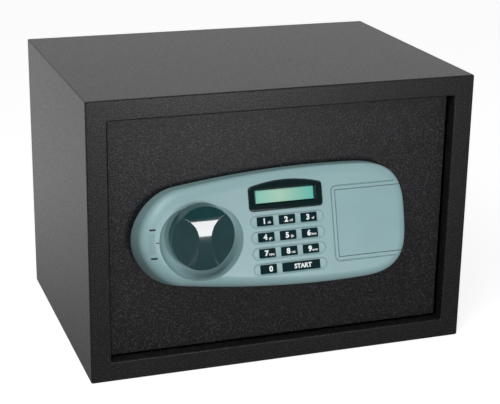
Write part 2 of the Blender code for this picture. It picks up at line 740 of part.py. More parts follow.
def make_control_panel(panel, door):
    """The panel's shell: its solid form less a core, which is first cut back to leave the cup, the
    lock's recess, the screw bosses and the board's posts standing."""
    body = part("control_panel", panel_body(0, 0), "panel_plastic", panel)
    core = cut(body, panel_body(PANEL_WALL, PANEL_WALL, OVERCUT), "cut_core", parent=panel)
    reach = 2 * CUP_FILLET
    knob_place = {"parent": door, "location": (KNOB_X, CUP_FLOOR, KNOB_Z), "rotation": facing("-Y")}
    cut(core, turned(cup_profile(PANEL_WALL, reach)), "keep_cup", **knob_place)
    recess_wall = (
        (RECESS_LEFT - PANEL_WALL, PANEL_ORIGIN.y - reach, RECESS_BOTTOM - PANEL_WALL),
        (RECESS_RIGHT + PANEL_WALL, RECESS_FLOOR + PANEL_WALL, RECESS_TOP + PANEL_WALL),
    )
    cut(core, box(*recess_wall), "keep_recess", parent=door)
    past_end = PANEL_RIGHT + PANEL_DRAFT + OVERCUT
    seat_low = (COVER_LEFT - GAP - PANEL_WALL, COVER_BOTTOM - GAP - PANEL_WALL)
    seat_high = (past_end, COVER_TOP + GAP + PANEL_WALL)
    ledge = flat_box(seat_low, seat_high, -COVER_SHEET - 2 * GAP - PANEL_WALL, OVERCUT)
    cut(core, ledge, "keep_cover_ledge", parent=panel)
    end_low = (PANEL_RIGHT - PANEL_BEVEL_WIDTH - PANEL_WALL, seat_low[1])
    end_wall = flat_box(end_low, seat_high, -COVER_SKIRT - 2 * GAP - PANEL_WALL, OVERCUT)
    cut(core, end_wall, "keep_cover_end_wall", parent=panel)
    for i, (x, z) in enumerate(PANEL_BOSSES):
        boss = rod(PANEL_BOSS_RADIUS, 0, 0.060, SMALL_ROUND_STEPS)
        place = {"parent": door, "location": (x, DOOR_FRONT - GAP, z), "rotation": facing("-Y")}
        cut(core, boss, f"keep_boss_{i}", **place)
    posts = [(x, y) for x in (BOARD_LEFT, BOARD_RIGHT) for y in (BOARD_BOTTOM, BOARD_TOP)]
    for i, (x, y) in enumerate(posts):
        inset_x = x + (BOARD_POST_RADIUS if x < 0 else -BOARD_POST_RADIUS)
        inset_y = y + (BOARD_POST_RADIUS if y < 0 else -BOARD_POST_RADIUS)
        post = rod(BOARD_POST_RADIUS, BOARD_FACE + GAP, 0, SMALL_ROUND_STEPS)
        cut(core, post, f"keep_post_{i}", parent=panel, location=(inset_x, inset_y, 0))
    cut(body, turned(cup_profile(0, reach)), "cut_cup", **knob_place)
    spindle_hole = rod(SPINDLE_RADIUS + RUNNING_GAP, -2 * PANEL_WALL, OVERCUT, SMALL_ROUND_STEPS)
    cut(body, spindle_hole, "cut_spindle", **knob_place)
    recess = box(
        (RECESS_LEFT, PANEL_ORIGIN.y - reach, RECESS_BOTTOM),
        (RECESS_RIGHT, RECESS_FLOOR, RECESS_TOP),
    )
    cut(body, recess, "cut_recess", parent=door)
    barrel_hole = rod(LOCK_BARREL_RADIUS + GAP, -2 * PANEL_WALL, OVERCUT)
    cut(
        body,
        barrel_hole,
        "cut_barrel",
        parent=door,
        location=(LOCK_X, RECESS_FLOOR, LOCK_Z),
        rotation=facing("-Y"),
    )
    for i, (x, z) in enumerate(PANEL_BOSSES):
        hole = rod(PANEL_SCREW_RADIUS + GAP, -OVERCUT, PANEL_SCREW_GRIP + GAP, SMALL_ROUND_STEPS)
        place = {"parent": door, "location": (x, DOOR_FRONT - GAP, z), "rotation": facing("-Y")}
        cut(body, hole, f"cut_boss_{i}", **place)
    cut_panel_face(body, panel)


def cut_panel_face(body, panel):
    """The display's pocket and window, the key channels and holes, and the cover's seat."""
    cut(body, prism(display_outline(GAP), -DISPLAY_POCKET, OVERCUT), "cut_display_pocket", parent=panel)
    low, high = around((WINDOW_X, WINDOW_RISE), WINDOW_WIDTH, WINDOW_HEIGHT, 2 * GAP)
    cut(body, flat_box(low, high, -2 * PANEL_WALL, OVERCUT), "cut_display_window", parent=panel)
    for row in range(4):
        middle = (KEY_MIDDLE_X, KEY_TOP_RISE - row * KEY_PITCH_Y)
        channel = prism(slot(middle, CHANNEL_LENGTH, CHANNEL_HEIGHT, 6), -CHANNEL_DEPTH, OVERCUT)
        cut(body, channel, f"cut_channel_{row}", parent=panel)
    for name, middle, width in key_places():
        low, high = around(middle, width, KEY_HEIGHT, GAP)
        cut(body, flat_box(low, high, -2 * PANEL_WALL, OVERCUT), f"cut_{name}", parent=panel)
    past_end = PANEL_RIGHT + PANEL_DRAFT + OVERCUT
    border = rounded_rectangle(
        (COVER_LEFT - COVER_BORDER, COVER_BOTTOM - COVER_BORDER),
        (past_end + COVER_CORNER, COVER_TOP + COVER_BORDER),
        COVER_CORNER,
    )
    cut(body, prism(border, -COVER_BORDER_DROP, OVERCUT), "cut_cover_border", parent=panel)
    seat_low, seat_high = (COVER_LEFT - GAP, COVER_BOTTOM - GAP), (past_end, COVER_TOP + GAP)
    seat = flat_box(seat_low, seat_high, -COVER_SHEET - GAP, OVERCUT)
    cut(body, seat, "cut_cover_seat", parent=panel)
    end = PANEL_RIGHT - PANEL_BEVEL_WIDTH
    skirt = flat_box((end, COVER_BOTTOM - GAP), (past_end, COVER_TOP + GAP), -COVER_SKIRT - GAP, 0)
    cut(body, skirt, "cut_cover_end", parent=panel)


def make_key_cover(panel):
    """The cover: the part of the panel's own form that lies over the seat, with a turned-down end."""
    cover = part("key_cover", panel_body(0, COVER_BORDER_DROP / 2), "cover_plastic", panel)
    end = PANEL_RIGHT - PANEL_BEVEL_WIDTH + GAP
    past_end = PANEL_RIGHT + PANEL_DRAFT + OVERCUT
    keep = combine(
        cover,
        flat_box((COVER_LEFT, COVER_BOTTOM), (past_end, COVER_TOP), -COVER_SHEET, OVERCUT),
        "INTERSECT",
        "keep_cover",
        parent=panel,
    )
    cover_end = flat_box((end, COVER_BOTTOM), (past_end, COVER_TOP), -COVER_SKIRT, 0)
    add(keep, cover_end, "keep_cover_end", parent=panel)


def make_display(panel):
    bezel = part(
        "display_bezel",
        prism(display_outline(), -DISPLAY_POCKET + GAP, DISPLAY_STAND),
        "dark_gloss",
        panel,
    )
    low, high = around((WINDOW_X, WINDOW_RISE), WINDOW_WIDTH, WINDOW_HEIGHT)
    cut(bezel, flat_box(low, high, -PANEL_WALL, 2 * DISPLAY_STAND), "cut_bezel_window", parent=panel)
    low, high = around((WINDOW_X, WINDOW_RISE), WINDOW_WIDTH, WINDOW_HEIGHT, -GAP)
    window = flat_box(low, high, -PANEL_WALL, -PANEL_WALL + WINDOW_SHEET)
    part("display_window", window, "display_glass", panel)


def make_keys(panel):
    for name, (x, y), width in key_places():
        key_axis = empty(f"{name}_slide", (x, y, 0), parent=panel)
        cap_low, cap_high = around((0, 0), width, KEY_HEIGHT)
        cap = flat_box(cap_low, cap_high, SKIRT_BOTTOM + KEY_SKIRT / 2, KEY_STAND)
        key = part(name, cap, "key_rubber", key_axis)
        low, high = around((0, 0), width, KEY_HEIGHT, KEY_SKIRT_WIDER)
        add(key, flat_box(low, high, SKIRT_BOTTOM, SKIRT_TOP), f"skirt_{name}", parent=key_axis)
    low = (BOARD_LEFT + 2 * BOARD_POST_RADIUS + GAP, KEY_TOP_RISE - 3 * KEY_PITCH_Y - KEY_HEIGHT)
    high = (BOARD_RIGHT - 2 * BOARD_POST_RADIUS - GAP, KEY_TOP_RISE + KEY_HEIGHT)
    part("keypad_mat", flat_box(low, high, MAT_TOP - KEYPAD_MAT_SHEET, MAT_TOP), "key_rubber", panel)
    low, high = (BOARD_LEFT, BOARD_BOTTOM), (BOARD_RIGHT, BOARD_TOP)
    part("circuit_board", flat_box(low, high, BOARD_FACE - BOARD_SHEET, BOARD_FACE), "board_green", panel)


def make_panel_screws(door):
    for i, (x, z) in enumerate(PANEL_BOSSES, 1):
        tip = DOOR_FRONT - GAP - PANEL_SCREW_GRIP + GAP
        profile = [
            (0, tip),
            (PANEL_SCREW_RADIUS, tip),
            (PANEL_SCREW_RADIUS, BEHIND),
            (PANEL_SCREW_HEAD_RADIUS, BEHIND),
            (PANEL_SCREW_HEAD_RADIUS, BEHIND + PANEL_SCREW_HEAD * 0.6),
            (PANEL_SCREW_HEAD_RADIUS * 0.6, BEHIND + PANEL_SCREW_HEAD),
            (0, BEHIND + PANEL_SCREW_HEAD),
        ]
        part(f"panel_screw_{i}", turned(profile, 16), "bright_steel", door, (x, 0, z), facing("+Y"))


# ---------------------------------------------------------------- knob, cam and bolts
def make_knob(knob):
    """The knob's frame has +Z out of the cup, along the spindle, from the cup's floor."""
    top = KNOB_LIFT + KNOB_HEIGHT
    edge = KNOB_EDGE_RADIUS
    profile = [
        (0, KNOB_LIFT),
        (KNOB_RADIUS - edge, KNOB_LIFT),
        (KNOB_RADIUS, KNOB_LIFT + edge),
        (KNOB_RADIUS, top - 2 * edge),
        (KNOB_RADIUS - edge, top - edge / 2),
        (KNOB_RADIUS - 4 * edge, top),
        (0, top),
    ]
    body = part("knob", turned(profile, 48), "knob_plastic", knob)
    for side in (-1, 1):
        scoop = bmesh.new()
        bmesh.ops.create_uvsphere(scoop, u_segments=56, v_segments=28, radius=1)
        radii = (KNOB_SCOOP_RADIUS, KNOB_SCOOP_RADIUS, KNOB_SCOOP_DEPTH)
        bmesh.ops.scale(scoop, vec=radii, verts=scoop.verts)
        reach = KNOB_SCOOP_RADIUS + KNOB_WAIST / 2
        cut(body, scoop, f"cut_scoop_{side}", parent=knob, location=(side * reach, 0, top))
    socket = rod(SPINDLE_RADIUS + GAP, 0, KNOB_LIFT + SPINDLE_SOCKET + GAP, SMALL_ROUND_STEPS)
    cut(body, socket, "cut_socket", parent=knob)
    floor_to_door = CUP_FLOOR - BEHIND  # negative: behind the cup's floor
    cam_back = CUP_FLOOR - (CAM_Y + CAM_SHEET)
    profile = [
        (0, cam_back),
        (SPINDLE_RADIUS, cam_back),
        (SPINDLE_RADIUS, floor_to_door - SPINDLE_COLLAR),
        (SPINDLE_COLLAR_RADIUS, floor_to_door - SPINDLE_COLLAR),
        (SPINDLE_COLLAR_RADIUS, floor_to_door),
        (SPINDLE_RADIUS, floor_to_door),
        (SPINDLE_RADIUS, KNOB_LIFT + SPINDLE_SOCKET),
        (0, KNOB_LIFT + SPINDLE_SOCKET),
    ]
    part("knob_spindle", turned(profile, SMALL_ROUND_STEPS), "bright_steel", knob)
    cam_low, cam_high = cam_back, CUP_FLOOR - CAM_Y
    hub = arc((0, 0), CAM_HUB_RADIUS, 8, 172, 12)
    tip = arc((0, -CAM_ARM), CAM_TIP_RADIUS, 188, 352, 8)
    cam = part("drive_cam", prism(hub + tip, cam_low, cam_high), "zinc_steel", knob)
    bore = rod(SPINDLE_RADIUS + GAP, cam_low - OVERCUT, cam_high + OVERCUT, SMALL_ROUND_STEPS)
    cut(cam, bore, "cut_cam", parent=knob)
    pin_end = CUP_FLOOR - (CARRIAGE_Y + CARRIAGE_SHEET + GAP)
    pin = rod(CAM_PIN_RADIUS, pin_end, cam_low + CAM_SHEET / 2, SMALL_ROUND_STEPS)
    add(cam, pin, "cam_pin", parent=knob, location=(0, -CAM_ARM, 0))


def make_bolts(door, slide):
    """The slide's frame lies in the world's directions, at the bolts' line."""
    low_z, high_z = BOLT_ZS[0] - CARRIAGE_MARGIN, BOLT_ZS[1] + CARRIAGE_MARGIN
    carriage_back = CARRIAGE_Y + CARRIAGE_SHEET
    carriage = part(
        "bolt_carriage",
        box((CARRIAGE_LEFT, CARRIAGE_Y, low_z), (CARRIAGE_RIGHT, carriage_back, high_z)),
        "zinc_steel",
        slide,
    )
    flange = box(
        (CARRIAGE_LEFT, BOLT_Y - BOLT_RADIUS, low_z),
        (CARRIAGE_LEFT + CARRIAGE_SHEET, BOLT_Y + BOLT_RADIUS, high_z),
    )
    add(carriage, flange, "carriage_flange", parent=slide)
    middle = (CAM_PIN_RADIUS + CAM_SLOT_SLACK) * 2
    place = {"parent": slide, "location": (0, CARRIAGE_Y, 0), "rotation": facing("+Y")}
    pin_slot = [(y, x) for x, y in slot((KNOB_Z - CAM_ARM, KNOB_X), CAM_SLOT_LENGTH, middle)]
    cut(carriage, upright_prism(pin_slot), "cut_cam_slot", **place)
    stud_width = 2 * (STUD_RADIUS + STUD_SLOT_SLACK / 2)
    stud_reach = 2 * (CARRIAGE_TRAVEL + STUD_SLOT_SLACK) + stud_width
    for i, z in enumerate(stud_heights()):
        cut(carriage, upright_prism(slot((STUD_X, z), stud_reach, stud_width)), f"cut_stud_slot_{i}", **place)
    for name, z in zip(("lower", "upper"), BOLT_ZS):
        edge = BOLT_RADIUS / 8
        profile = [
            (0, 0),
            (BOLT_RADIUS - edge, 0),
            (BOLT_RADIUS, edge),
            (BOLT_RADIUS, BOLT_LENGTH),
            (0, BOLT_LENGTH),
        ]
        tip = (BOLT_TIP_X, BOLT_Y, z)
        part(f"bolt_{name}", turned(profile, ROUND_STEPS), "bright_steel", slide, tip, facing("+X"))
    guide = part(
        "bolt_guide",
        box(
            (GUIDE_X, BEHIND, BOLT_ZS[0] - GUIDE_MARGIN),
            (GUIDE_X + GUIDE_SHEET, BEHIND + GUIDE_DEPTH, BOLT_ZS[1] + GUIDE_MARGIN),
        ),
        "zinc_steel",
        door,
    )
    foot = box(
        (GUIDE_X, BEHIND, BOLT_ZS[0] + GUIDE_MARGIN),
        (GUIDE_X + GUIDE_SHEET + GUIDE_FOOT, BEHIND + GUIDE_SHEET, BOLT_ZS[1] - GUIDE_MARGIN),
    )
    add(guide, foot, "guide_foot", parent=door)
    for name, z in zip(("lower", "upper"), BOLT_ZS):
        hole = rod(BOLT_RADIUS + RUNNING_GAP, -OVERCUT, GUIDE_SHEET + OVERCUT)
        place = (GUIDE_X, BOLT_Y, z)
        cut(guide, hole, f"cut_guide_{name}", parent=door, location=place, rotation=facing("+X"))
    make_studs(door)


def upright_prism(outline):
    """A prism through the carriage, from an outline of (x, z) points, for a cutter that is turned
    with facing("+Y"), which sends its local y to -Z."""
    return prism([(x, -z) for x, z in outline][::-1], -OVERCUT, CARRIAGE_SHEET + OVERCUT)


def stud_heights():
    return (MIDDLE - STUD_PITCH / 2, MIDDLE + STUD_PITCH / 2)


def make_studs(door):
    for name, z in zip(("lower", "upper"), stud_heights()):
        head = CARRIAGE_Y + CARRIAGE_SHEET + GAP
        profile = [
            (0, BEHIND),
            (STUD_RADIUS, BEHIND),
            (STUD_RADIUS, head),
            (STUD_HEAD_RADIUS, head),
            (STUD_HEAD_RADIUS, head + STUD_HEAD),
            (0, head + STUD_HEAD),
        ]
        stud = turned(profile, SMALL_ROUND_STEPS)
        part(f"guide_stud_{name}", stud, "bright_steel", door, (STUD_X, 0, z), facing("+Y"))


# ---------------------------------------------------------------- emergency lock
def make_lock(door, plug_axis):
    """The plug's frame has +Z out of the recess, along the lock, from the recess's floor."""
    flange = RECESS_FLOOR - GAP
    back = DOOR_BACK + LOCK_BEHIND_DOOR
    bore = LOCK_PLUG_RADIUS + RUNNING_GAP
    profile = [
        (bore, flange - LOCK_FLANGE),
        (LOCK_FLANGE_RADIUS, flange - LOCK_FLANGE),
        (LOCK_FLANGE_RADIUS, flange),
        (LOCK_BARREL_RADIUS, flange),
        (LOCK_BARREL_RADIUS, back),
        (bore, back),
    ]
    part("lock_barrel", turned(profile), "zinc_steel", door, (LOCK_X, 0, LOCK_Z), facing("+Y"))
    part("lock_nut", hexagon_nut(BEHIND, LOCK_NUT), "zinc_steel", door, (LOCK_X, 0, LOCK_Z), facing("+Y"))
    front = LOCK_FLANGE + GAP
    shoulder = RECESS_FLOOR - back
    cam_face = shoulder - GAP
    stub = cam_face - LOCK_CAM_SHEET - GAP
    profile = [
        (0, stub),
        (LOCK_PLUG_STUB_RADIUS, stub),
        (LOCK_PLUG_STUB_RADIUS, shoulder),
        (LOCK_PLUG_RADIUS, shoulder),
        (LOCK_PLUG_RADIUS, front),
        (0, front),
    ]
    plug = part("lock_plug", turned(profile, SMALL_ROUND_STEPS), "brass", plug_axis)
    keyway = box(
        (-LOCK_KEYWAY_WIDTH / 2, -LOCK_KEYWAY_LENGTH / 2, front - LOCK_KEYWAY_DEPTH),
        (LOCK_KEYWAY_WIDTH / 2, LOCK_KEYWAY_LENGTH / 2, front + OVERCUT),
    )
    cut(plug, keyway, "cut_keyway", parent=plug_axis)
    hub = arc((0, 0), LOCK_BARREL_RADIUS, 188, 352, 10)
    tip = arc((0, LOCK_CAM_LENGTH), LOCK_BARREL_RADIUS / 2, 8, 172, 8)
    cam = part("lock_cam", prism(hub + tip, cam_face - LOCK_CAM_SHEET, cam_face), "zinc_steel", plug_axis)
    hole = rod(LOCK_PLUG_STUB_RADIUS + GAP, stub - OVERCUT, cam_face + OVERCUT, SMALL_ROUND_STEPS)
    cut(cam, hole, "cut_lock_cam", parent=plug_axis)


def hexagon_nut(low, height, steps=24):
    """A nut with a round bore and six flats, from low up along local Z."""
    mesh = bmesh.new()
    bore = LOCK_BARREL_RADIUS + GAP
    rings = []
    for z in (low, low + height):
        inner, outer = [], []
        for i in range(steps):
            angle = 2 * math.pi * i / steps
            off_flat = (angle + math.pi / 6) % (math.pi / 3) - math.pi / 6
            reach = LOCK_NUT_RADIUS * math.cos(math.pi / 6) / math.cos(off_flat)
            inner.append(mesh.verts.new((bore * math.cos(angle), bore * math.sin(angle), z)))
            outer.append(mesh.verts.new((reach * math.cos(angle), reach * math.sin(angle), z)))
        rings.append((inner, outer))
    (inner_low, outer_low), (inner_high, outer_high) = rings
    for i in range(steps):
        j = (i + 1) % steps
        mesh.faces.new((outer_low[i], outer_low[j], outer_high[j], outer_high[i]))
        mesh.faces.new((inner_low[j], inner_low[i], inner_high[i], inner_high[j]))
        mesh.faces.new((outer_high[i], outer_high[j], inner_high[j], inner_high[i]))
        mesh.faces.new((inner_low[i], inner_low[j], outer_low[j], outer_low[i]))
    return mesh


# ---------------------------------------------------------------- solenoid, inner case, batteries
def make_solenoid(door, slide):
    left = SOLENOID_X - SOLENOID_WIDTH / 2
    body = part(
        "solenoid_body",
        box(
            (left, BEHIND, SOLENOID_Z - SOLENOID_HEIGHT / 2),
            (left + SOLENOID_WIDTH, BEHIND + SOLENOID_DEPTH, SOLENOID_Z + SOLENOID_HEIGHT / 2),
        ),
        "zinc_steel",
        door,
    )
    rounded(body, 0.0008, 1)
    middle = (left, BEHIND + SOLENOID_DEPTH / 2, SOLENOID_Z)
    bore = rod(PLUNGER_RADIUS + RUNNING_GAP, -OVERCUT, PLUNGER_IN + OVERCUT, SMALL_ROUND_STEPS)
    cut(body, bore, "cut_solenoid_bore", parent=door, location=middle, rotation=facing("+X"))
    plunger = rod(PLUNGER_RADIUS, -PLUNGER_OUT, PLUNGER_IN, SMALL_ROUND_STEPS)
    part("solenoid_plunger", plunger, "bright_steel", slide, rotation=facing("+X"))


def case_screw_places():
    xs = (CASE_LEFT + CASE_SCREW_INSET, CASE_RIGHT - CASE_SCREW_INSET)
    zs = (CASE_BOTTOM + CASE_SCREW_INSET, CASE_TOP - CASE_SCREW_INSET)
    return [(x, z) for z in zs for x in xs]


def make_inner_case(door):
    case = part(
        "lock_case",
        box((CASE_LEFT, BEHIND, CASE_BOTTOM), (CASE_RIGHT, CASE_FACE, CASE_TOP)),
        "case_plastic",
        door,
    )
    rounded(case, CASE_EDGE_RADIUS, 2)
    hollow = box(
        (CASE_LEFT + CASE_SHEET, BEHIND - OVERCUT, CASE_BOTTOM + CASE_SHEET),
        (CASE_RIGHT - CASE_SHEET, CASE_FACE - CASE_SHEET, CASE_TOP - CASE_SHEET),
    )
    cut(case, hollow, "cut_case_hollow", parent=door)
    for name, z in zip(("lower", "upper"), BOLT_ZS):
        hole = rod(BOLT_RADIUS + 2 * GAP, -OVERCUT, CASE_SHEET + OVERCUT)
        place = (CASE_LEFT, BOLT_Y, z)
        cut(case, hole, f"cut_case_{name}", parent=door, location=place, rotation=facing("+X"))
    for i, (x, z) in enumerate(case_screw_places()):
        hole = rod(CASE_SCREW_RADIUS + GAP, -CASE_SHEET - OVERCUT, OVERCUT, SMALL_ROUND_STEPS)
        cut(case, hole, f"cut_case_screw_{i}", parent=door, location=(x, CASE_FACE, z), rotation=facing("+Y"))
    window = box(
        (TRAY_LEFT + TRAY_LIP, CASE_FACE - CASE_SHEET - OVERCUT, TRAY_BOTTOM + TRAY_LIP),
        (TRAY_LEFT + TRAY_WIDTH - TRAY_LIP, CASE_FACE + OVERCUT, TRAY_TOP - TRAY_LIP),
    )
    cut(case, window, "cut_battery_window", parent=door)
    hole = rod(BUTTON_RADIUS + RUNNING_GAP, -CASE_SHEET - OVERCUT, OVERCUT, SMALL_ROUND_STEPS)
    place = (BUTTON_X, CASE_FACE, BUTTON_Z)
    cut(case, hole, "cut_case_button", parent=door, location=place, rotation=facing("+Y"))
    for i, (x, z) in enumerate(case_screw_places(), 1):
        head = CASE_FACE + GAP
        profile = [
            (0, BEHIND),
            (CASE_SCREW_RADIUS, BEHIND),
            (CASE_SCREW_RADIUS, head),
            (CASE_SCREW_HEAD_RADIUS, head),
            (CASE_SCREW_HEAD_RADIUS, head + CASE_SCREW_HEAD * 0.6),
            (CASE_SCREW_HEAD_RADIUS * 0.6, head + CASE_SCREW_HEAD),
            (0, head + CASE_SCREW_HEAD),
        ]
        part(f"case_screw_{i}", turned(profile, 16), "bright_steel", door, (x, 0, z), facing("+Y"))


def make_batteries(door, lid_slide):
    tray = part(
        "battery_tray",
        box((TRAY_LEFT, TRAY_FRONT, TRAY_BOTTOM), (TRAY_LEFT + TRAY_WIDTH, TRAY_BACK, TRAY_TOP)),
        "black_plastic",
        door,
    )
    hollow = box(
        (TRAY_LEFT + TRAY_WALL, TRAY_FRONT + TRAY_WALL, TRAY_BOTTOM + TRAY_WALL),
        (TRAY_LEFT + TRAY_WIDTH - TRAY_WALL, TRAY_BACK + OVERCUT, TRAY_TOP - TRAY_WALL),
    )
    cut(tray, hollow, "cut_tray", parent=door)
    profile = [
        (0, 0),
        (CELL_RADIUS, 0),
        (CELL_RADIUS, CELL_LENGTH),
        (CELL_NUB_RADIUS, CELL_LENGTH),
        (CELL_NUB_RADIUS, CELL_LENGTH + CELL_NUB),
        (0, CELL_LENGTH + CELL_NUB),
    ]
    cell_y = TRAY_FRONT + TRAY_WALL + TRAY_SLACK + CELL_RADIUS
    for i in range(CELL_COUNT):
        x = TRAY_LEFT + TRAY_WALL + CELL_PITCH * (i + 0.5)
        up = i % 2 == 0
        z = TRAY_BOTTOM + TRAY_WALL + TRAY_SLACK if up else TRAY_TOP - TRAY_WALL - TRAY_SLACK
        rotation = (0, 0, 0) if up else (math.pi, 0, 0)
        part(f"battery_{i + 1}", turned(profile, 24), "cell_jacket", door, (x, cell_y, z), rotation)
    part(
        "battery_lid",
        box(
            (TRAY_LEFT - LID_MARGIN, CASE_FACE + GAP, TRAY_BOTTOM - LID_MARGIN),
            (TRAY_LEFT + TRAY_WIDTH + LID_MARGIN, CASE_FACE + GAP + LID_SHEET, TRAY_TOP + LID_MARGIN),
        ),
        "case_plastic",
        lid_slide,
    )


def make_reset_button(slide):
    """The button's frame has +Z out of the case's face, from that face."""
    inside = -CASE_SHEET - GAP
    profile = [
        (0, inside - BUTTON_FLANGE),
        (BUTTON_FLANGE_RADIUS, inside - BUTTON_FLANGE),
        (BUTTON_FLANGE_RADIUS, inside),
        (BUTTON_RADIUS, inside),
        (BUTTON_RADIUS, BUTTON_STAND - BUTTON_RADIUS / 5),
        (BUTTON_RADIUS * 0.8, BUTTON_STAND),
        (0, BUTTON_STAND),
    ]
    part("reset_button", turned(profile, SMALL_ROUND_STEPS), "red_plastic", slide)


def main():
    clear_scene()
    make_cabinet()
    door_axis = empty("door_hinge", PIVOT)
    door = empty("door", -PIVOT, parent=door_axis)
    panel = empty("panel_face", PANEL_ORIGIN, (PANEL_TURN, 0, 0), door)
    knob = empty("knob_turn", (KNOB_X, CUP_FLOOR, KNOB_Z), facing("-Y"), door)
    bolts = empty("bolt_slide", (0, 0, 0), parent=door)
    plug = empty("lock_plug_turn", (LOCK_X, RECESS_FLOOR, LOCK_Z), facing("-Y"), door)
    plunger_place = (SOLENOID_X - SOLENOID_WIDTH / 2, BEHIND + SOLENOID_DEPTH / 2, SOLENOID_Z)
    plunger = empty("plunger_slide", plunger_place, parent=door)
    lid = empty("battery_lid_slide", (0, 0, 0), parent=door)
    button = empty("reset_button_slide", (BUTTON_X, CASE_FACE, BUTTON_Z), facing("+Y"), door)
    plate_gap = 2 * BODY_SHEET
    make_hinge("upper", door_axis, 1, DOOR_TOP - GAP, OPENING_TOP + plate_gap)
    make_hinge("lower", door_axis, -1, DOOR_BOTTOM + GAP, OPENING_BOTTOM - plate_gap)
    make_door(door)
    make_control_panel(panel, door)
    make_key_cover(panel)
    make_display(panel)
    make_keys(panel)
    make_panel_screws(door)
    make_knob(knob)
    make_bolts(door, bolts)
    make_lock(door, plug)
    make_solenoid(door, plunger)
    make_inner_case(door)
    make_batteries(door, lid)
    make_reset_button(button)


main()
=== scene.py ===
"""An in-room safe with an electronic lock: a powder-coated cabinet, a hinged door and a moulded lock fascia.

Every length is in metres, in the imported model's own frame: the cabinet stands on z = 0 and its door faces -Y.
"""

from __future__ import annotations

import logging
import math
import sys
from collections.abc import Callable, Iterable, Sequence
from dataclasses import dataclass, field
from enum import Enum

import bmesh
import bpy
from mathutils import Matrix, Vector


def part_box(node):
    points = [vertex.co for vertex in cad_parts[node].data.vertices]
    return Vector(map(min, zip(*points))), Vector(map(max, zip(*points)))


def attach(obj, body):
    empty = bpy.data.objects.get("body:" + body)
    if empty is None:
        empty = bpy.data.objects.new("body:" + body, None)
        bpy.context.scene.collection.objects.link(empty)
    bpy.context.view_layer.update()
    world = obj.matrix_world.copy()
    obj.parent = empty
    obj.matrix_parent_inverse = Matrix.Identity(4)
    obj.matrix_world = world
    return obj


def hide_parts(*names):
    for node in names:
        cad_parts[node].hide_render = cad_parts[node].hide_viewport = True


log = logging.getLogger("safe")

Colour = tuple[float, float, float]
Ring = Sequence[Sequence[float]]
JOINT_GAP = 0.0003  # between pieces that touch
OVERCUT = 0.002  # how far a cutter runs past the face it opens


class Cut(Enum):
    """How one solid works on another."""

    AWAY = "DIFFERENCE"
    KEEP = "INTERSECT"
    JOIN = "UNION"


class Facing(Enum):
    """Which way a turned piece's own +Z points; its +Y stays upright where it can."""

    FRONT = Matrix.Rotation(math.radians(90), 4, "X")
    BACK = Matrix.Rotation(math.radians(-90), 4, "X")
    RIGHT = Matrix.Rotation(math.radians(90), 4, "Y")
    LEFT = Matrix.Rotation(math.radians(-90), 4, "Y")
    UP = Matrix.Identity(4)


# ---------------------------------------------------------------- workshop
def at(x: float, y: float, z: float, facing: Facing = Facing.UP) -> Matrix:
    """Returns the frame of a piece that stands at a point and faces one way."""
    return Matrix.Translation((x, y, z)) @ facing.value


def only(obj: bpy.types.Object) -> None:
    """Leaves this object as the one that is selected and active."""
    if bpy.context.mode != "OBJECT":
        bpy.ops.object.mode_set(mode="OBJECT")
    bpy.ops.object.select_all(action="DESELECT")
    obj.select_set(True)
    bpy.context.view_layer.objects.active = obj


def settle(obj: bpy.types.Object, place: Matrix | None = None) -> bpy.types.Object:
    """Puts an object's place into its mesh, so that the object itself lies at the origin.

    Args:
        obj: the object to settle.
        place: the frame that its mesh was modelled in, if it isn't the world's.

    Returns:
        The same object.
    """
    if place is not None:
        obj.matrix_world = place @ obj.matrix_world
    only(obj)
    bpy.ops.object.transform_apply(location=True, rotation=True, scale=True)
    return obj


def named(name: str) -> bpy.types.Object:
    """Names the object that an operator has just added, and returns it."""
    obj = bpy.context.object
    obj.name = name
    obj.data.name = name
    return obj


def choose(obj: bpy.types.Object, kind: str, test: Callable[[object], bool]) -> None:
    """Opens an object in edit mode with just the elements that pass a test selected.

    Args:
        obj: the object to edit.
        kind: VERT, EDGE or FACE.
        test: says whether one bmesh element is wanted.
    """
    only(obj)
    bpy.ops.object.mode_set(mode="EDIT")
    bpy.ops.mesh.select_mode(type=kind)
    bpy.ops.mesh.select_all(action="DESELECT")
    mesh = bmesh.from_edit_mesh(obj.data)
    for element in {"VERT": mesh.verts, "EDGE": mesh.edges, "FACE": mesh.faces}[kind]:
        element.select_set(bool(test(element)))
    mesh.select_flush_mode()
    bmesh.update_edit_mesh(obj.data)


def leave() -> None:
    """Closes edit mode."""
    bpy.ops.object.mode_set(mode="OBJECT")


def lofted(name: str, rings: Sequence[Ring], place: Matrix | None = None) -> bpy.types.Object:
    """Makes a closed body by extruding one ring of points through the others.

    Args:
        name: the new object's name.
        rings: rings of the same number of points, from one end of the body to the other.
        place: the frame that the rings are given in.

    Returns:
        The new object, with its place in its mesh.
    """
    only_none()
    bpy.ops.mesh.primitive_circle_add(vertices=len(rings[0]), radius=1, fill_type="NGON")
    obj = named(name)
    mark = obj.data.attributes.new("turn", "INT", "POINT")
    for i, vertex in enumerate(obj.data.vertices):
        vertex.co = rings[0][i]
        mark.data[i].value = i
    bpy.ops.object.mode_set(mode="EDIT")
    bpy.ops.mesh.select_mode(type="FACE")
    bpy.ops.mesh.select_all(action="SELECT")
    for ring in rings[1:]:
        bpy.ops.mesh.extrude_region_move()
        mesh = bmesh.from_edit_mesh(obj.data)
        turn = mesh.verts.layers.int["turn"]
        for vertex in mesh.verts:
            if vertex.select:
                vertex.co = ring[vertex[turn]]
        bmesh.update_edit_mesh(obj.data)
    bpy.ops.mesh.select_all(action="SELECT")
    bpy.ops.mesh.normals_make_consistent(inside=False)
    leave()
    obj.data.attributes.remove(obj.data.attributes["turn"])
    return settle(obj, place)


def only_none() -> None:
    """Leaves nothing selected, in object mode."""
    if bpy.context.mode != "OBJECT":
        bpy.ops.object.mode_set(mode="OBJECT")
    bpy.ops.object.select_all(action="DESELECT")


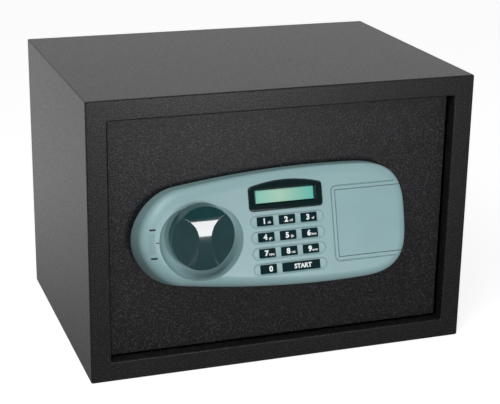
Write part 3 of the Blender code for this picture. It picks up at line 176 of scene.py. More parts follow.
def circle(radius: float, height: float, steps: int) -> list[tuple[float, float, float]]:
    """Returns the points of a level circle about the Z axis."""
    turn = 2 * math.pi / steps
    return [(radius * math.cos(turn * i), radius * math.sin(turn * i), height) for i in range(steps)]


def turned(
    name: str, profile: Iterable[tuple[float, float]], place: Matrix, steps: int = 48
) -> bpy.types.Object:
    """Makes a turned body from a profile of (radius, height) points about its own Z axis.

    Args:
        name: the new object's name.
        profile: the points from the lower end to the upper one; no radius is zero.
        place: the frame that the axis stands in.
        steps: how many sides the body has.

    Returns:
        The new object.
    """
    return lofted(name, [circle(radius, height, steps) for radius, height in profile], place)


def rod(name: str, radius: float, low: float, high: float, place: Matrix, steps: int = 40) -> bpy.types.Object:
    """Makes a plain round rod, as a cutter or as the start of a piece."""
    return turned(name, [(radius, low), (radius, high)], place, steps)


def block(name: str, low: Sequence[float], high: Sequence[float], place: Matrix | None = None) -> bpy.types.Object:
    """Makes a box between two corners.

    Args:
        name: the new object's name.
        low: its lowest corner.
        high: its highest corner.
        place: the frame that the corners are given in.

    Returns:
        The new object.
    """
    only_none()
    middle = (Vector(low) + Vector(high)) / 2
    size = Vector(high) - Vector(low)
    bpy.ops.mesh.primitive_cube_add(size=1, location=middle, scale=size)
    obj = named(name)
    settle(obj)
    return settle(obj, place) if place is not None else obj


def corner_arc(
    centre: tuple[float, float], radius: float, start: float, steps: int
) -> list[tuple[float, float]]:
    """Returns a quarter circle's points, from a start angle in degrees."""
    angles = [math.radians(start + 90 * i / steps) for i in range(steps + 1)]
    return [(centre[0] + radius * math.cos(a), centre[1] + radius * math.sin(a)) for a in angles]


def round_rectangle(
    low: Sequence[float], high: Sequence[float], radius: float, steps: int = 5
) -> list[tuple[float, float]]:
    """Returns the outline of a rectangle with round corners, anticlockwise from its lower right."""
    left, bottom, right, top = low[0] + radius, low[1] + radius, high[0] - radius, high[1] - radius
    return (
        corner_arc((right, bottom), radius, -90, steps)
        + corner_arc((right, top), radius, 0, steps)
        + corner_arc((left, top), radius, 90, steps)
        + corner_arc((left, bottom), radius, 180, steps)
    )


def grown(low: Sequence[float], high: Sequence[float], spare: float) -> tuple[Vector, Vector]:
    """Returns a rectangle's corners moved outwards by spare."""
    step = Vector((spare, spare))
    return Vector(low[:2]) - step, Vector(high[:2]) + step


def pad(
    name: str,
    low: Sequence[float],
    high: Sequence[float],
    radius: float,
    layers: Iterable[tuple[float, float]],
    place: Matrix | None = None,
) -> bpy.types.Object:
    """Makes a plate with round corners whose wall follows layers of (spare, height).

    Args:
        name: the new object's name.
        low: the outline's lower left corner.
        high: the outline's upper right corner.
        radius: the corner radius of the outline as given.
        layers: how far out and how high each ring of the wall lies, from the bottom to the top.
        place: the frame that the plate lies in.

    Returns:
        The new object.
    """
    rings = []
    for spare, height in layers:
        corners = grown(low, high, spare)
        outline = round_rectangle(*corners, max(radius + spare, 0.00005))
        rings.append([(x, y, height) for x, y in outline])
    return lofted(name, rings, place)


def rounded_top(top: float, radius: float, steps: int = 4) -> list[tuple[float, float]]:
    """Returns the layers of a wall that rounds over into its top face."""
    angles = [math.pi / 2 * i / steps for i in range(steps + 1)]
    return [(-radius * (1 - math.cos(a)), top - radius * (1 - math.sin(a))) for a in angles]


def flared_mouth(radius: float, steps: int = 4) -> list[tuple[float, float]]:
    """Returns the layers of a cutter that rounds the rim of what it opens, at height zero."""
    stop = math.radians(82)
    angles = [stop * i / steps for i in range(steps + 1)]
    layers = [(radius * (1 - math.cos(a)), -radius * (1 - math.sin(a))) for a in angles]
    return [*layers, (radius * 1.4, radius * 0.12), (radius * 1.4, OVERCUT)]


def work(piece: bpy.types.Object, tool: bpy.types.Object, how: Cut = Cut.AWAY) -> bpy.types.Object:
    """Cuts, keeps or joins a tool's solid and removes the tool.

    Args:
        piece: the object that stays.
        tool: the object that is used up.
        how: what the tool does to the piece.

    Returns:
        The piece.
    """
    modifier = piece.modifiers.new("work", "BOOLEAN")
    modifier.operation = how.value
    modifier.solver = "EXACT"
    modifier.object = tool
    only(piece)
    bpy.ops.object.modifier_apply(modifier=modifier.name)
    bpy.data.objects.remove(tool, do_unlink=True)
    return piece


def soften(piece: bpy.types.Object, width: float, segments: int = 3, angle: float = 35) -> bpy.types.Object:
    """Rounds every edge that is sharper than an angle in degrees."""
    modifier = piece.modifiers.new("soften", "BEVEL")
    modifier.width = width
    modifier.segments = segments
    modifier.limit_method = "ANGLE"
    modifier.angle_limit = math.radians(angle)
    modifier.miter_outer = "MITER_ARC"
    only(piece)
    bpy.ops.object.modifier_apply(modifier=modifier.name)
    return piece


def shade(piece: bpy.types.Object, angle: float = 35) -> bpy.types.Object:
    """Smooths the shading over edges that are blunter than an angle, with flat faces kept flat."""
    only(piece)
    bpy.ops.object.shade_smooth_by_angle(angle=math.radians(angle))
    modifier = piece.modifiers.new("faces", "WEIGHTED_NORMAL")
    modifier.keep_sharp = True
    modifier.weight = 80
    bpy.ops.object.modifier_apply(modifier=modifier.name)
    return piece


def joined(name: str, pieces: Sequence[bpy.types.Object]) -> bpy.types.Object:
    """Makes one object of several."""
    only(pieces[0])
    for piece in pieces[1:]:
        piece.select_set(True)
    bpy.ops.object.join()
    return named(name)


def lettering(
    name: str, words: str, size: float, middle: tuple[float, float], height: float, place: Matrix, weight: float
) -> bpy.types.Object:
    """Makes printed characters that lie a little proud of a face.

    Args:
        name: the new object's name.
        words: the characters.
        size: the font's size.
        middle: where their middle lies on the face.
        height: the face's height in its own frame.
        place: the face's frame.
        weight: how far each stroke is thickened.

    Returns:
        The lettering as a mesh.
    """
    only_none()
    bpy.ops.object.text_add()
    obj = named(name)
    obj.data.body = words
    obj.data.size = size
    obj.data.align_x = "CENTER"
    obj.data.align_y = "CENTER"
    obj.data.offset = weight
    obj.data.extrude = 0.00004
    obj.data.resolution_u = 4
    only(obj)
    bpy.ops.object.convert(target="MESH")
    obj = bpy.context.object
    obj.location = (middle[0], middle[1], height)
    settle(obj)
    return settle(obj, place)


def printed_on(piece: bpy.types.Object, surface: bpy.types.Object, frame: Matrix) -> bpy.types.Object:
    """Lays a thin printed piece on a curved surface, each point at its own height over it.

    Args:
        piece: the piece, made about z = 0 of the frame.
        surface: what it's printed on.
        frame: the frame whose +Z looks out of the surface.

    Returns:
        The piece.
    """
    inward = -(frame.to_3x3() @ Vector((0, 0, 1)))
    back = frame.inverted()
    for vertex in piece.data.vertices:
        lift = (back @ vertex.co).z
        start = vertex.co - inward * 0.02
        hit, place, _normal, _face = surface.ray_cast(start, inward)
        if hit:
            vertex.co = place - inward * lift
    return piece


def fit(
    piece: bpy.types.Object, body: str, finish: Finish, nodes: Sequence[str] = ()
) -> bpy.types.Object:
    """Gives a finished piece its material, its body and the nodes that it stands for.

    Args:
        piece: the finished piece.
        body: the body that it rides on.
        finish: its material.
        nodes: the model's nodes that it stands for.

    Returns:
        The piece.
    """
    piece.data.materials.clear()
    piece.data.materials.append(finish.material())
    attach(piece, body)
    if nodes:
        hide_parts(*nodes)
    log.info("%s rides on %s, %d faces, %s", piece.name, body, len(piece.data.polygons), finish.name)
    return piece


# ---------------------------------------------------------------- finishes
class Nodes:
    """Builds one material's node tree on top of a Principled BSDF."""

    def __init__(self, name: str) -> None:
        """Starts the material."""
        self.material = bpy.data.materials.new(name)
        self.material.use_nodes = True
        self.tree = self.material.node_tree
        self.surface = self.tree.nodes["Principled BSDF"]
        self.place = self.tree.nodes.new("ShaderNodeTexCoord").outputs["Object"]

    def link(self, out: bpy.types.NodeSocket, into: bpy.types.NodeSocket) -> None:
        """Joins one socket to another."""
        self.tree.links.new(out, into)

    def noise(
        self, size: float, detail: float = 2.0, stretch: Colour = (1, 1, 1), distortion: float = 0.0
    ) -> bpy.types.NodeSocket:
        """Adds noise whose lumps are about size across.

        Args:
            size: the lumps' size in metres.
            detail: how much finer noise rides on it.
            stretch: how many times longer a lump is along each axis.
            distortion: how far the lumps swirl.

        Returns:
            Its value, from 0 to 1.
        """
        mapping = self.tree.nodes.new("ShaderNodeMapping")
        mapping.inputs["Scale"].default_value = [1 / s for s in stretch]
        self.link(self.place, mapping.inputs["Vector"])
        noise = self.tree.nodes.new("ShaderNodeTexNoise")
        noise.inputs["Scale"].default_value = 1 / size
        noise.inputs["Detail"].default_value = detail
        noise.inputs["Distortion"].default_value = distortion
        self.link(mapping.outputs["Vector"], noise.inputs["Vector"])
        return noise.outputs["Fac"]

    def cells(self, size: float, feature: str = "F1") -> bpy.types.NodeSocket:
        """Adds a cell pattern and returns its distance, in cells."""
        cells = self.tree.nodes.new("ShaderNodeTexVoronoi")
        cells.feature = feature
        cells.inputs["Scale"].default_value = 1 / size
        self.link(self.place, cells.inputs["Vector"])
        return cells.outputs["Distance"]

    def ramp(self, value: bpy.types.NodeSocket, stops: Sequence[tuple[float, Colour]]) -> bpy.types.NodeSocket:
        """Turns a value into colours through stops of (position, colour)."""
        ramp = self.tree.nodes.new("ShaderNodeValToRGB")
        for i, (position, colour) in enumerate(stops):
            stop = ramp.color_ramp.elements[i] if i < 2 else ramp.color_ramp.elements.new(position)
            stop.position = position
            stop.color = (*colour, 1)
        self.link(value, ramp.inputs["Fac"])
        return ramp.outputs["Color"]

    def span(self, value: bpy.types.NodeSocket, low: float, high: float) -> bpy.types.NodeSocket:
        """Maps a value from the middle of its range, 0.3 to 0.7, to low and high."""
        span = self.tree.nodes.new("ShaderNodeMapRange")
        span.inputs["From Min"].default_value = 0.3
        span.inputs["From Max"].default_value = 0.7
        span.inputs["To Min"].default_value = low
        span.inputs["To Max"].default_value = high
        self.link(value, span.inputs["Value"])
        return span.outputs["Result"]

    def bump(self, height: bpy.types.NodeSocket, depth: float, strength: float = 1.0) -> None:
        """Gives the surface relief of a depth in metres, over what relief it has."""
        bump = self.tree.nodes.new("ShaderNodeBump")
        bump.inputs["Distance"].default_value = depth
        bump.inputs["Strength"].default_value = strength
        self.link(height, bump.inputs["Height"])
        before = self.surface.inputs["Normal"]
        if before.is_linked:
            self.link(before.links[0].from_socket, bump.inputs["Normal"])
        self.link(bump.outputs["Normal"], before)


def mixed(colour: Colour, factor: float) -> Colour:
    """Returns a colour made brighter or darker by a factor."""
    return tuple(min(1.0, c * factor) for c in colour)


@dataclass(frozen=True)
class Finish:
    """A surface finish: its colour drifts a little and its gloss is broken by fine grain."""

    name: str
    colour: Colour
    roughness: float = 0.4
    metallic: float = 0.0
    drift: float = 0.06
    drift_size: float = 0.03
    grain: float = 0.0006
    depth: float = 0.000005
    coat: float = 0.0
    specular: float = 0.5

    def material(self) -> bpy.types.Material:
        """Returns the finish's material, made on first use."""
        found = bpy.data.materials.get(self.name)
        if found is not None:
            return found
        nodes = Nodes(self.name)
        surface = nodes.surface
        surface.inputs["Metallic"].default_value = self.metallic
        surface.inputs["Coat Weight"].default_value = self.coat
        surface.inputs["Specular IOR Level"].default_value = self.specular
        self.dress(nodes)
        return nodes.material

    def dress(self, nodes: Nodes) -> None:
        """Adds the finish's patterns to a new material."""
        drift = nodes.noise(self.drift_size, 3)
        low, high = mixed(self.colour, 1 - self.drift), mixed(self.colour, 1 + self.drift)
        nodes.link(nodes.ramp(drift, [(0.3, low), (0.7, high)]), nodes.surface.inputs["Base Color"])
        grain = nodes.noise(self.grain, 2)
        rough = nodes.span(grain, self.roughness * 0.9, self.roughness * 1.1)
        nodes.link(rough, nodes.surface.inputs["Roughness"])
        nodes.bump(grain, self.depth)


@dataclass(frozen=True)
class PowderCoat(Finish):
    """A baked powder coat: an orange-peel skin with fine bright specks that are painted glints of light on it."""

    peel: float = 0.0016
    peel_depth: float = 0.00018
    # the colour of the painted glints
    painted_glint_colour: Colour = (0.075, 0.072, 0.079)

    def dress(self, nodes: Nodes) -> None:
        """Adds the skin's ripples, its painted glints as bright specks in its colour and the uneven gloss between
        them.
        """
        peel = nodes.noise(self.peel, 3, distortion=0.6)
        cloud = nodes.noise(self.drift_size, 2)
        low, high = mixed(self.colour, 1 - self.drift), mixed(self.colour, 1 + self.drift)
        ground = nodes.ramp(cloud, [(0.3, low), (0.7, high)])
        # painted glints: bright specks in the base colour that stand for light catching the skin
        painted_glints = nodes.ramp(nodes.noise(self.peel * 0.55, 2), [(0.54, (0, 0, 0)), (0.74, (1, 1, 1))])
        mix = nodes.tree.nodes.new("ShaderNodeMix")
        mix.data_type = "RGBA"
        nodes.link(painted_glints, mix.inputs["Factor"])
        nodes.link(ground, mix.inputs["A"])
        mix.inputs["B"].default_value = (*self.painted_glint_colour, 1)
        nodes.link(mix.outputs["Result"], nodes.surface.inputs["Base Color"])
        rough = nodes.span(peel, self.roughness * 0.85, self.roughness * 1.15)
        nodes.link(rough, nodes.surface.inputs["Roughness"])
        nodes.bump(peel, self.peel_depth)


@dataclass(frozen=True)
class Brushed(Finish):
    """Plated or brushed metal with a fine lay along one axis."""

    lay: Colour = (12, 1, 1)

    def dress(self, nodes: Nodes) -> None:
        """Adds the lay's streaks to the colour, the gloss and the relief."""
        lay = nodes.noise(self.grain, 3, self.lay)
        cloud = nodes.noise(self.drift_size, 3)
        low, high = mixed(self.colour, 1 - self.drift), mixed(self.colour, 1 + self.drift)
        nodes.link(nodes.ramp(cloud, [(0.3, low), (0.7, high)]), nodes.surface.inputs["Base Color"])
        rough = nodes.span(lay, self.roughness * 0.75, self.roughness * 1.25)
        nodes.link(rough, nodes.surface.inputs["Roughness"])
        nodes.bump(lay, self.depth)


@dataclass(frozen=True)
class Smoked(Finish):
    """Tinted plastic that is glossy and a little clear, with a painted sheen: its colour turns paler where it is seen
    edge on.
    """

    # the colour of the painted sheen, reached where the surface is seen edge on
    edge: Colour = (0.10, 0.22, 0.23)

    def dress(self, nodes: Nodes) -> None:
        """Adds the painted sheen, a paler colour where the surface is seen edge on, and a faint moulded swirl."""
        # painted sheen: the colour follows how squarely the surface faces the eye
        facing = nodes.tree.nodes.new("ShaderNodeLayerWeight")
        facing.inputs["Blend"].default_value = 0.35
        painted_sheen_tint = nodes.ramp(facing.outputs["Facing"], [(0.25, self.colour), (0.95, self.edge)])
        swirl = nodes.noise(self.drift_size, 2, distortion=1.5)
        shade_of = nodes.span(swirl, 1 - self.drift, 1 + self.drift)
        scale = nodes.tree.nodes.new("ShaderNodeVectorMath")
        scale.operation = "SCALE"
        nodes.link(painted_sheen_tint, scale.inputs[0])
        nodes.link(shade_of, scale.inputs["Scale"])
        nodes.link(scale.outputs["Vector"], nodes.surface.inputs["Base Color"])
        rough = nodes.span(nodes.noise(self.grain, 1), self.roughness * 0.8, self.roughness * 1.2)
        nodes.link(rough, nodes.surface.inputs["Roughness"])
        nodes.bump(swirl, self.depth)


@dataclass(frozen=True)
class LiquidCrystal(Finish):
    """The display's glass: a mint ground that turns warm a little left of its middle and cool at its right end, under
    a clear cover.
    """

    warm: Colour = (0.42, 0.64, 0.50)
    cool: Colour = (0.12, 0.52, 0.45)
    start: float = -0.03
    end: float = 0.022

    def dress(self, nodes: Nodes) -> None:
        """Adds the drift of colour along the glass and a fine grain to its gloss and relief."""
        parts = nodes.tree.nodes.new("ShaderNodeSeparateXYZ")
        nodes.link(nodes.place, parts.inputs["Vector"])
        along = nodes.tree.nodes.new("ShaderNodeMapRange")
        along.inputs["From Min"].default_value = self.start
        along.inputs["From Max"].default_value = self.end
        nodes.link(parts.outputs["X"], along.inputs["Value"])
        stops = [(0.0, self.colour), (0.38, self.warm), (0.75, mixed(self.colour, 0.92)), (1.0, self.cool)]
        colour = nodes.ramp(along.outputs["Result"], stops)
        nodes.link(colour, nodes.surface.inputs["Base Color"])
        grain = nodes.noise(self.grain, 2)
        nodes.link(nodes.span(grain, self.roughness * 0.9, self.roughness * 1.1), nodes.surface.inputs["Roughness"])
        nodes.bump(grain, self.depth)


@dataclass(frozen=True)
class Felt(Finish):
    """Needled felt: matted fibres with a soft nap."""

    def dress(self, nodes: Nodes) -> None:
        """Adds the fibres and the nap."""
        fibre = nodes.noise(0.0009, 6, (3, 1, 1), 1.2)
        cross = nodes.noise(0.0008, 6, (1, 3, 1), 1.2)
        low, high = mixed(self.colour, 0.55), mixed(self.colour, 1.7)
        nodes.link(nodes.ramp(fibre, [(0.3, low), (0.72, high)]), nodes.surface.inputs["Base Color"])
        nodes.link(nodes.span(cross, 0.85, 1.0), nodes.surface.inputs["Roughness"])
        nodes.surface.inputs["Sheen Weight"].default_value = 0.25
        nodes.bump(fibre, 0.0004)
        nodes.bump(cross, 0.0004)


BODY_COAT = PowderCoat("body_powder_coat", (0.0070, 0.0065, 0.0071), 0.36, drift=0.15, drift_size=0.05, specular=0.2)
DOOR_COAT = PowderCoat(
    "door_powder_coat", (0.0066, 0.0060, 0.0072), 0.38, drift=0.15, drift_size=0.05, specular=0.2
)
FASCIA_PLASTIC = Finish("fascia_satin_plastic", (0.268, 0.424, 0.438), 0.40, drift=0.02, depth=0.000004)
COVER_PLASTIC = Finish("cover_satin_plastic", (0.255, 0.418, 0.436), 0.44, drift=0.03, depth=0.000006)
BEZEL_GLOSS = Finish("bezel_gloss", (0.002, 0.012, 0.013), 0.09, drift=0.2, depth=0.0000003, specular=0.35)
LCD_GLASS = LiquidCrystal("display_mint_glass", (0.25, 0.60, 0.49), 0.20, depth=0.000001, specular=0.2)
# the knob's edge colour is a painted sheen where it is seen edge on
KNOB_SMOKE = Smoked("knob_smoked_plastic", (0.006, 0.040, 0.043), 0.05, drift=0.12, depth=0.000002, edge=(0.05, 0.12, 0.125))
KEY_RUBBER = Finish("key_moulded_rubber", (0.0006, 0.0165, 0.0205), 0.5, drift=0.12, depth=0.000006, specular=0.05)
WHITE_INK = Finish("legend_white_ink", (0.78, 0.84, 0.84), 0.5, drift=0.03)
BLACK_INK = Finish("scale_black_ink", (0.006, 0.010, 0.011), 0.45, drift=0.05)
GREY_INK = Finish("scale_grey_ink", (0.20, 0.29, 0.30), 0.5, drift=0.05)
ZINC = Brushed("zinc_plate", (0.50, 0.51, 0.50), 0.34, 1.0, drift=0.10, grain=0.0004, depth=0.000006)
CHROME = Brushed("bright_plate", (0.66, 0.66, 0.65), 0.16, 1.0, drift=0.04, grain=0.0003, depth=0.000002)
NICKEL = Brushed("lock_nickel", (0.56, 0.53, 0.47), 0.24, 1.0, drift=0.06, grain=0.0003, depth=0.000003)
BRASS = Brushed("lock_brass", (0.62, 0.46, 0.20), 0.28, 1.0, drift=0.08, grain=0.0003, depth=0.000003)
CASE_PLASTIC = Finish("case_textured_plastic", (0.020, 0.020, 0.022), 0.55, drift=0.1, grain=0.0009, depth=0.00004)
BLACK_PLASTIC = Finish("black_moulded_plastic", (0.011, 0.011, 0.012), 0.45, drift=0.1, grain=0.0006, depth=0.00002)
BOARD_GREEN = Finish("board_green_mask", (0.010, 0.110, 0.045), 0.35, drift=0.15, drift_size=0.004)
MAT_FELT = Felt("mat_pressed_felt", (0.030, 0.030, 0.034), 0.95)
CELL_BLACK = Finish("cell_black_jacket", (0.012, 0.013, 0.016), 0.28, drift=0.1, coat=0.4)
CELL_COPPER = Finish("cell_copper_jacket", (0.50, 0.22, 0.09), 0.30, 0.8, drift=0.08, coat=0.4)
RED_PLASTIC = Finish("button_red_plastic", (0.50, 0.018, 0.016), 0.30, drift=0.06)


# ---------------------------------------------------------------- cabinet
@dataclass
class Cabinet:
    """The folded sheet body with its front flange, its welded back and the felt on its floor."""

    sheet: float = 0.002
    flange_return: float = 0.0115
    fold_radius: float = 0.0022
    anchor_radius: float = 0.005
    anchor_places: tuple[float, float] = (0.120, 0.070)
    weld_radius: float = 0.0011
    low: Vector = field(default_factory=lambda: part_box("cabinet_shell")[0])
    high: Vector = field(default_factory=lambda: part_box("cabinet_shell")[1])

    def build(self) -> None:
        """Builds the body, the weld along its back and the felt."""
        self.build_shell()
        self.build_back()
        self.build_weld()
        self.build_mat()

    def flange_width(self) -> float:
        """Returns the front flange's width, from the door and the gap round it."""
        return (self.high.x - self.low.x) / 2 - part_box("door_plate")[1].x - 0.002

    def build_shell(self) -> None:
        """Folds the body: a box whose front is inset, turned in and given the sheet's thickness."""
        width = self.flange_width()
        shell = block("safe_body", self.low, self.high)
        choose(shell, "FACE", lambda face: face.normal.y > 0.9)
        bpy.ops.mesh.delete(type="FACE")
        choose(shell, "FACE", lambda face: face.normal.y < -0.9)
        bpy.ops.mesh.inset(thickness=width, depth=0)
        bpy.ops.mesh.extrude_region_move(TRANSFORM_OT_translate={"value": (0, self.flange_return, 0)})
        bpy.ops.mesh.delete(type="FACE")
        leave()
        wall = shell.modifiers.new("wall", "SOLIDIFY")
        wall.thickness = self.sheet
        wall.offset = -1
        wall.use_even_offset = True
        only(shell)
        bpy.ops.object.modifier_apply(modifier="wall")
        front, reach = self.low.y, self.flange_return

        def folded(edge: bmesh.types.BMEdge) -> bool:
            """Says whether an edge is one of the outside folds."""
            middle = (edge.verts[0].co + edge.verts[1].co) / 2
            lies_at_front = middle.y < front + 1e-5
            runs_back = abs(edge.verts[0].co.y - edge.verts[1].co.y) > 2 * reach
            on_skin = abs(middle.x - self.low.x) < 1e-5 or abs(middle.x - self.high.x) < 1e-5
            return lies_at_front or (runs_back and on_skin)

        choose(shell, "EDGE", folded)
        bpy.ops.mesh.bevel(offset=self.fold_radius * 0.6, offset_pct=0, segments=4, profile=0.5, affect="EDGES")
        leave()
        for x in (-1, 1):
            for y in (-1, 1):
                spot = at(x * self.anchor_places[0], y * self.anchor_places[1], 0)
                work(shell, rod("anchor_tool", self.anchor_radius, -OVERCUT, 2 * OVERCUT, spot))
        shade(shell)
        fit(shell, "cabinet", BODY_COAT, ["cabinet_shell"])

    def build_back(self) -> None:
        """Cuts the back sheet with its two wall-anchor holes."""
        low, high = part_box("back_panel")
        plate = soften(block("safe_back", low, high), 0.0004, 2)
        for side in (-1, 1):
            spot = at(side * self.anchor_places[0], high.y, (low.z + high.z) / 2, Facing.BACK)
            work(plate, rod("anchor_tool", self.anchor_radius, -2 * OVERCUT, OVERCUT, spot))
        shade(plate)
        fit(plate, "cabinet", BODY_COAT, ["back_panel"])

    def build_weld(self) -> None:
        """Lays short weld runs where the back meets the folded sheet."""
        low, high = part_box("back_panel")
        runs = []
        for x in (low.x + 0.045, 0, high.x - 0.045):
            runs += [(x, low.z, True), (x, high.z, True)]
        for z in (low.z + 0.045, high.z - 0.045):
            runs += [(low.x, z, False), (high.x, z, False)]
        beads = [self.weld_bead(i, high.y, *run) for i, run in enumerate(runs)]
        fit(shade(joined("weld_runs", beads), 50), "cabinet", BODY_COAT)

    def weld_bead(self, number: int, y: float, x: float, z: float, level: bool) -> bpy.types.Object:
        """Makes one run of overlapping weld ripples, level or upright."""
        ripples, half = 9, 0.011
        profile = []
        for i in range(ripples * 4 + 1):
            along = -half + 2 * half * i / (ripples * 4)
            end = math.sqrt(max(0.02, 1 - (along / (half * 1.02)) ** 6))
            profile.append((self.weld_radius * end * (1 + 0.10 * math.cos(math.pi * i / 2)), along))
        place = at(x, y, z, Facing.RIGHT if level else Facing.UP)
        return turned(f"weld_{number}", profile, place, 12)

    def build_mat(self) -> None:
        """Lays the felt: a soft sheet whose face is a little uneven and whose edge is cut square."""
        low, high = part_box("floor_mat")
        mat = block("felt_mat", low, high)
        only(mat)
        bpy.ops.object.mode_set(mode="EDIT")
        bpy.ops.mesh.select_all(action="SELECT")
        bpy.ops.mesh.subdivide(number_cuts=31)
        leave()
        for vertex in mat.data.vertices:
            x, y = vertex.co.x, vertex.co.y
            if vertex.co.z > (low.z + high.z) / 2:
                vertex.co.z -= 0.00025 * (1 + math.sin(61 * x + 2) * math.cos(47 * y + 1))
            vertex.co.x += 0.0003 * math.sin(140 * y) * (x / high.x) ** 9
        shade(mat, 40)
        fit(mat, "cabinet", MAT_FELT, ["floor_mat"])


# ---------------------------------------------------------------- door
@dataclass
class Door:
    """The door's leaf and its hinges."""

    edge_radius: float = 0.0009
    spindle_hole: float = 0.007
    barrel_hole: float = 0.0088

    def build(self) -> None:
        """Builds the leaf and the hinge pins, and dresses the hinge sheet-metal."""
        self.build_leaf()
        for name in ("lower", "upper"):
            self.build_pin(name)
            dress_node(f"hinge_bracket_{name}", BODY_COAT)
            dress_node(f"hinge_lug_{name}", DOOR_COAT)

    def build_leaf(self) -> None:
        """Cuts the leaf from plate, with rounded edges and its holes for the lock."""
        low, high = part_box("door_plate")
        leaf = soften(block("door_leaf", low, high), self.edge_radius, 4)
        knob = sum(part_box("knob"), Vector()) / 2
        barrel = sum(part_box("lock_barrel"), Vector()) / 2
        for centre, radius in ((knob, self.spindle_hole), (barrel, self.barrel_hole)):
            spot = at(centre.x, low.y, centre.z, Facing.BACK)
            work(leaf, rod("hole_tool", radius, -OVERCUT, high.y - low.y + OVERCUT, spot))
        shade(leaf)
        fit(leaf, "door", DOOR_COAT, ["door_plate"])

    def build_pin(self, name: str) -> None:
        """Turns one hinge pin with a domed head."""
        low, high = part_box(f"hinge_pin_{name}")
        centre = (low + high) / 2
        head, height = (high.x - low.x) / 2, high.z - low.z
        shank, dome = 0.0025, 0.0018
        profile = [(shank - 0.0004, 0), (shank, 0.0004), (shank, height - dome), (head, height - dome)]
        steps = 5
        for i in range(steps):
            angle = math.pi / 2 * (0.25 + 0.7 * i / steps)
            profile.append((head * math.cos(angle), height - dome + dome * math.sin(angle)))
        profile = [(head - 0.0002, p[1]) if p == profile[3] else p for p in profile]
        place = at(centre.x, centre.y, low.z)
        pin = shade(turned(f"pin_{name}", [*profile, (0.0004, height)], place, 32))
        fit(pin, "cabinet", ZINC, [f"hinge_pin_{name}"])


def dress_node(name: str, finish: Finish) -> None:
    """Gives one of the model's own nodes a finish and rounds its edges a little.

    Args:
        name: the node.
        finish: its material.
    """
    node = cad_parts[name]
    for material_slot in node.material_slots:
        material_slot.material = finish.material()
    weld = node.modifiers.new("weld", "WELD")
    weld.merge_threshold = 0.00001
    edge = node.modifiers.new("edge", "BEVEL")
    edge.width = 0.00025
    edge.segments = 2
    edge.limit_method = "ANGLE"
    edge.angle_limit = math.radians(40)
    log.info("%s keeps its own shape, %s", name, finish.name)


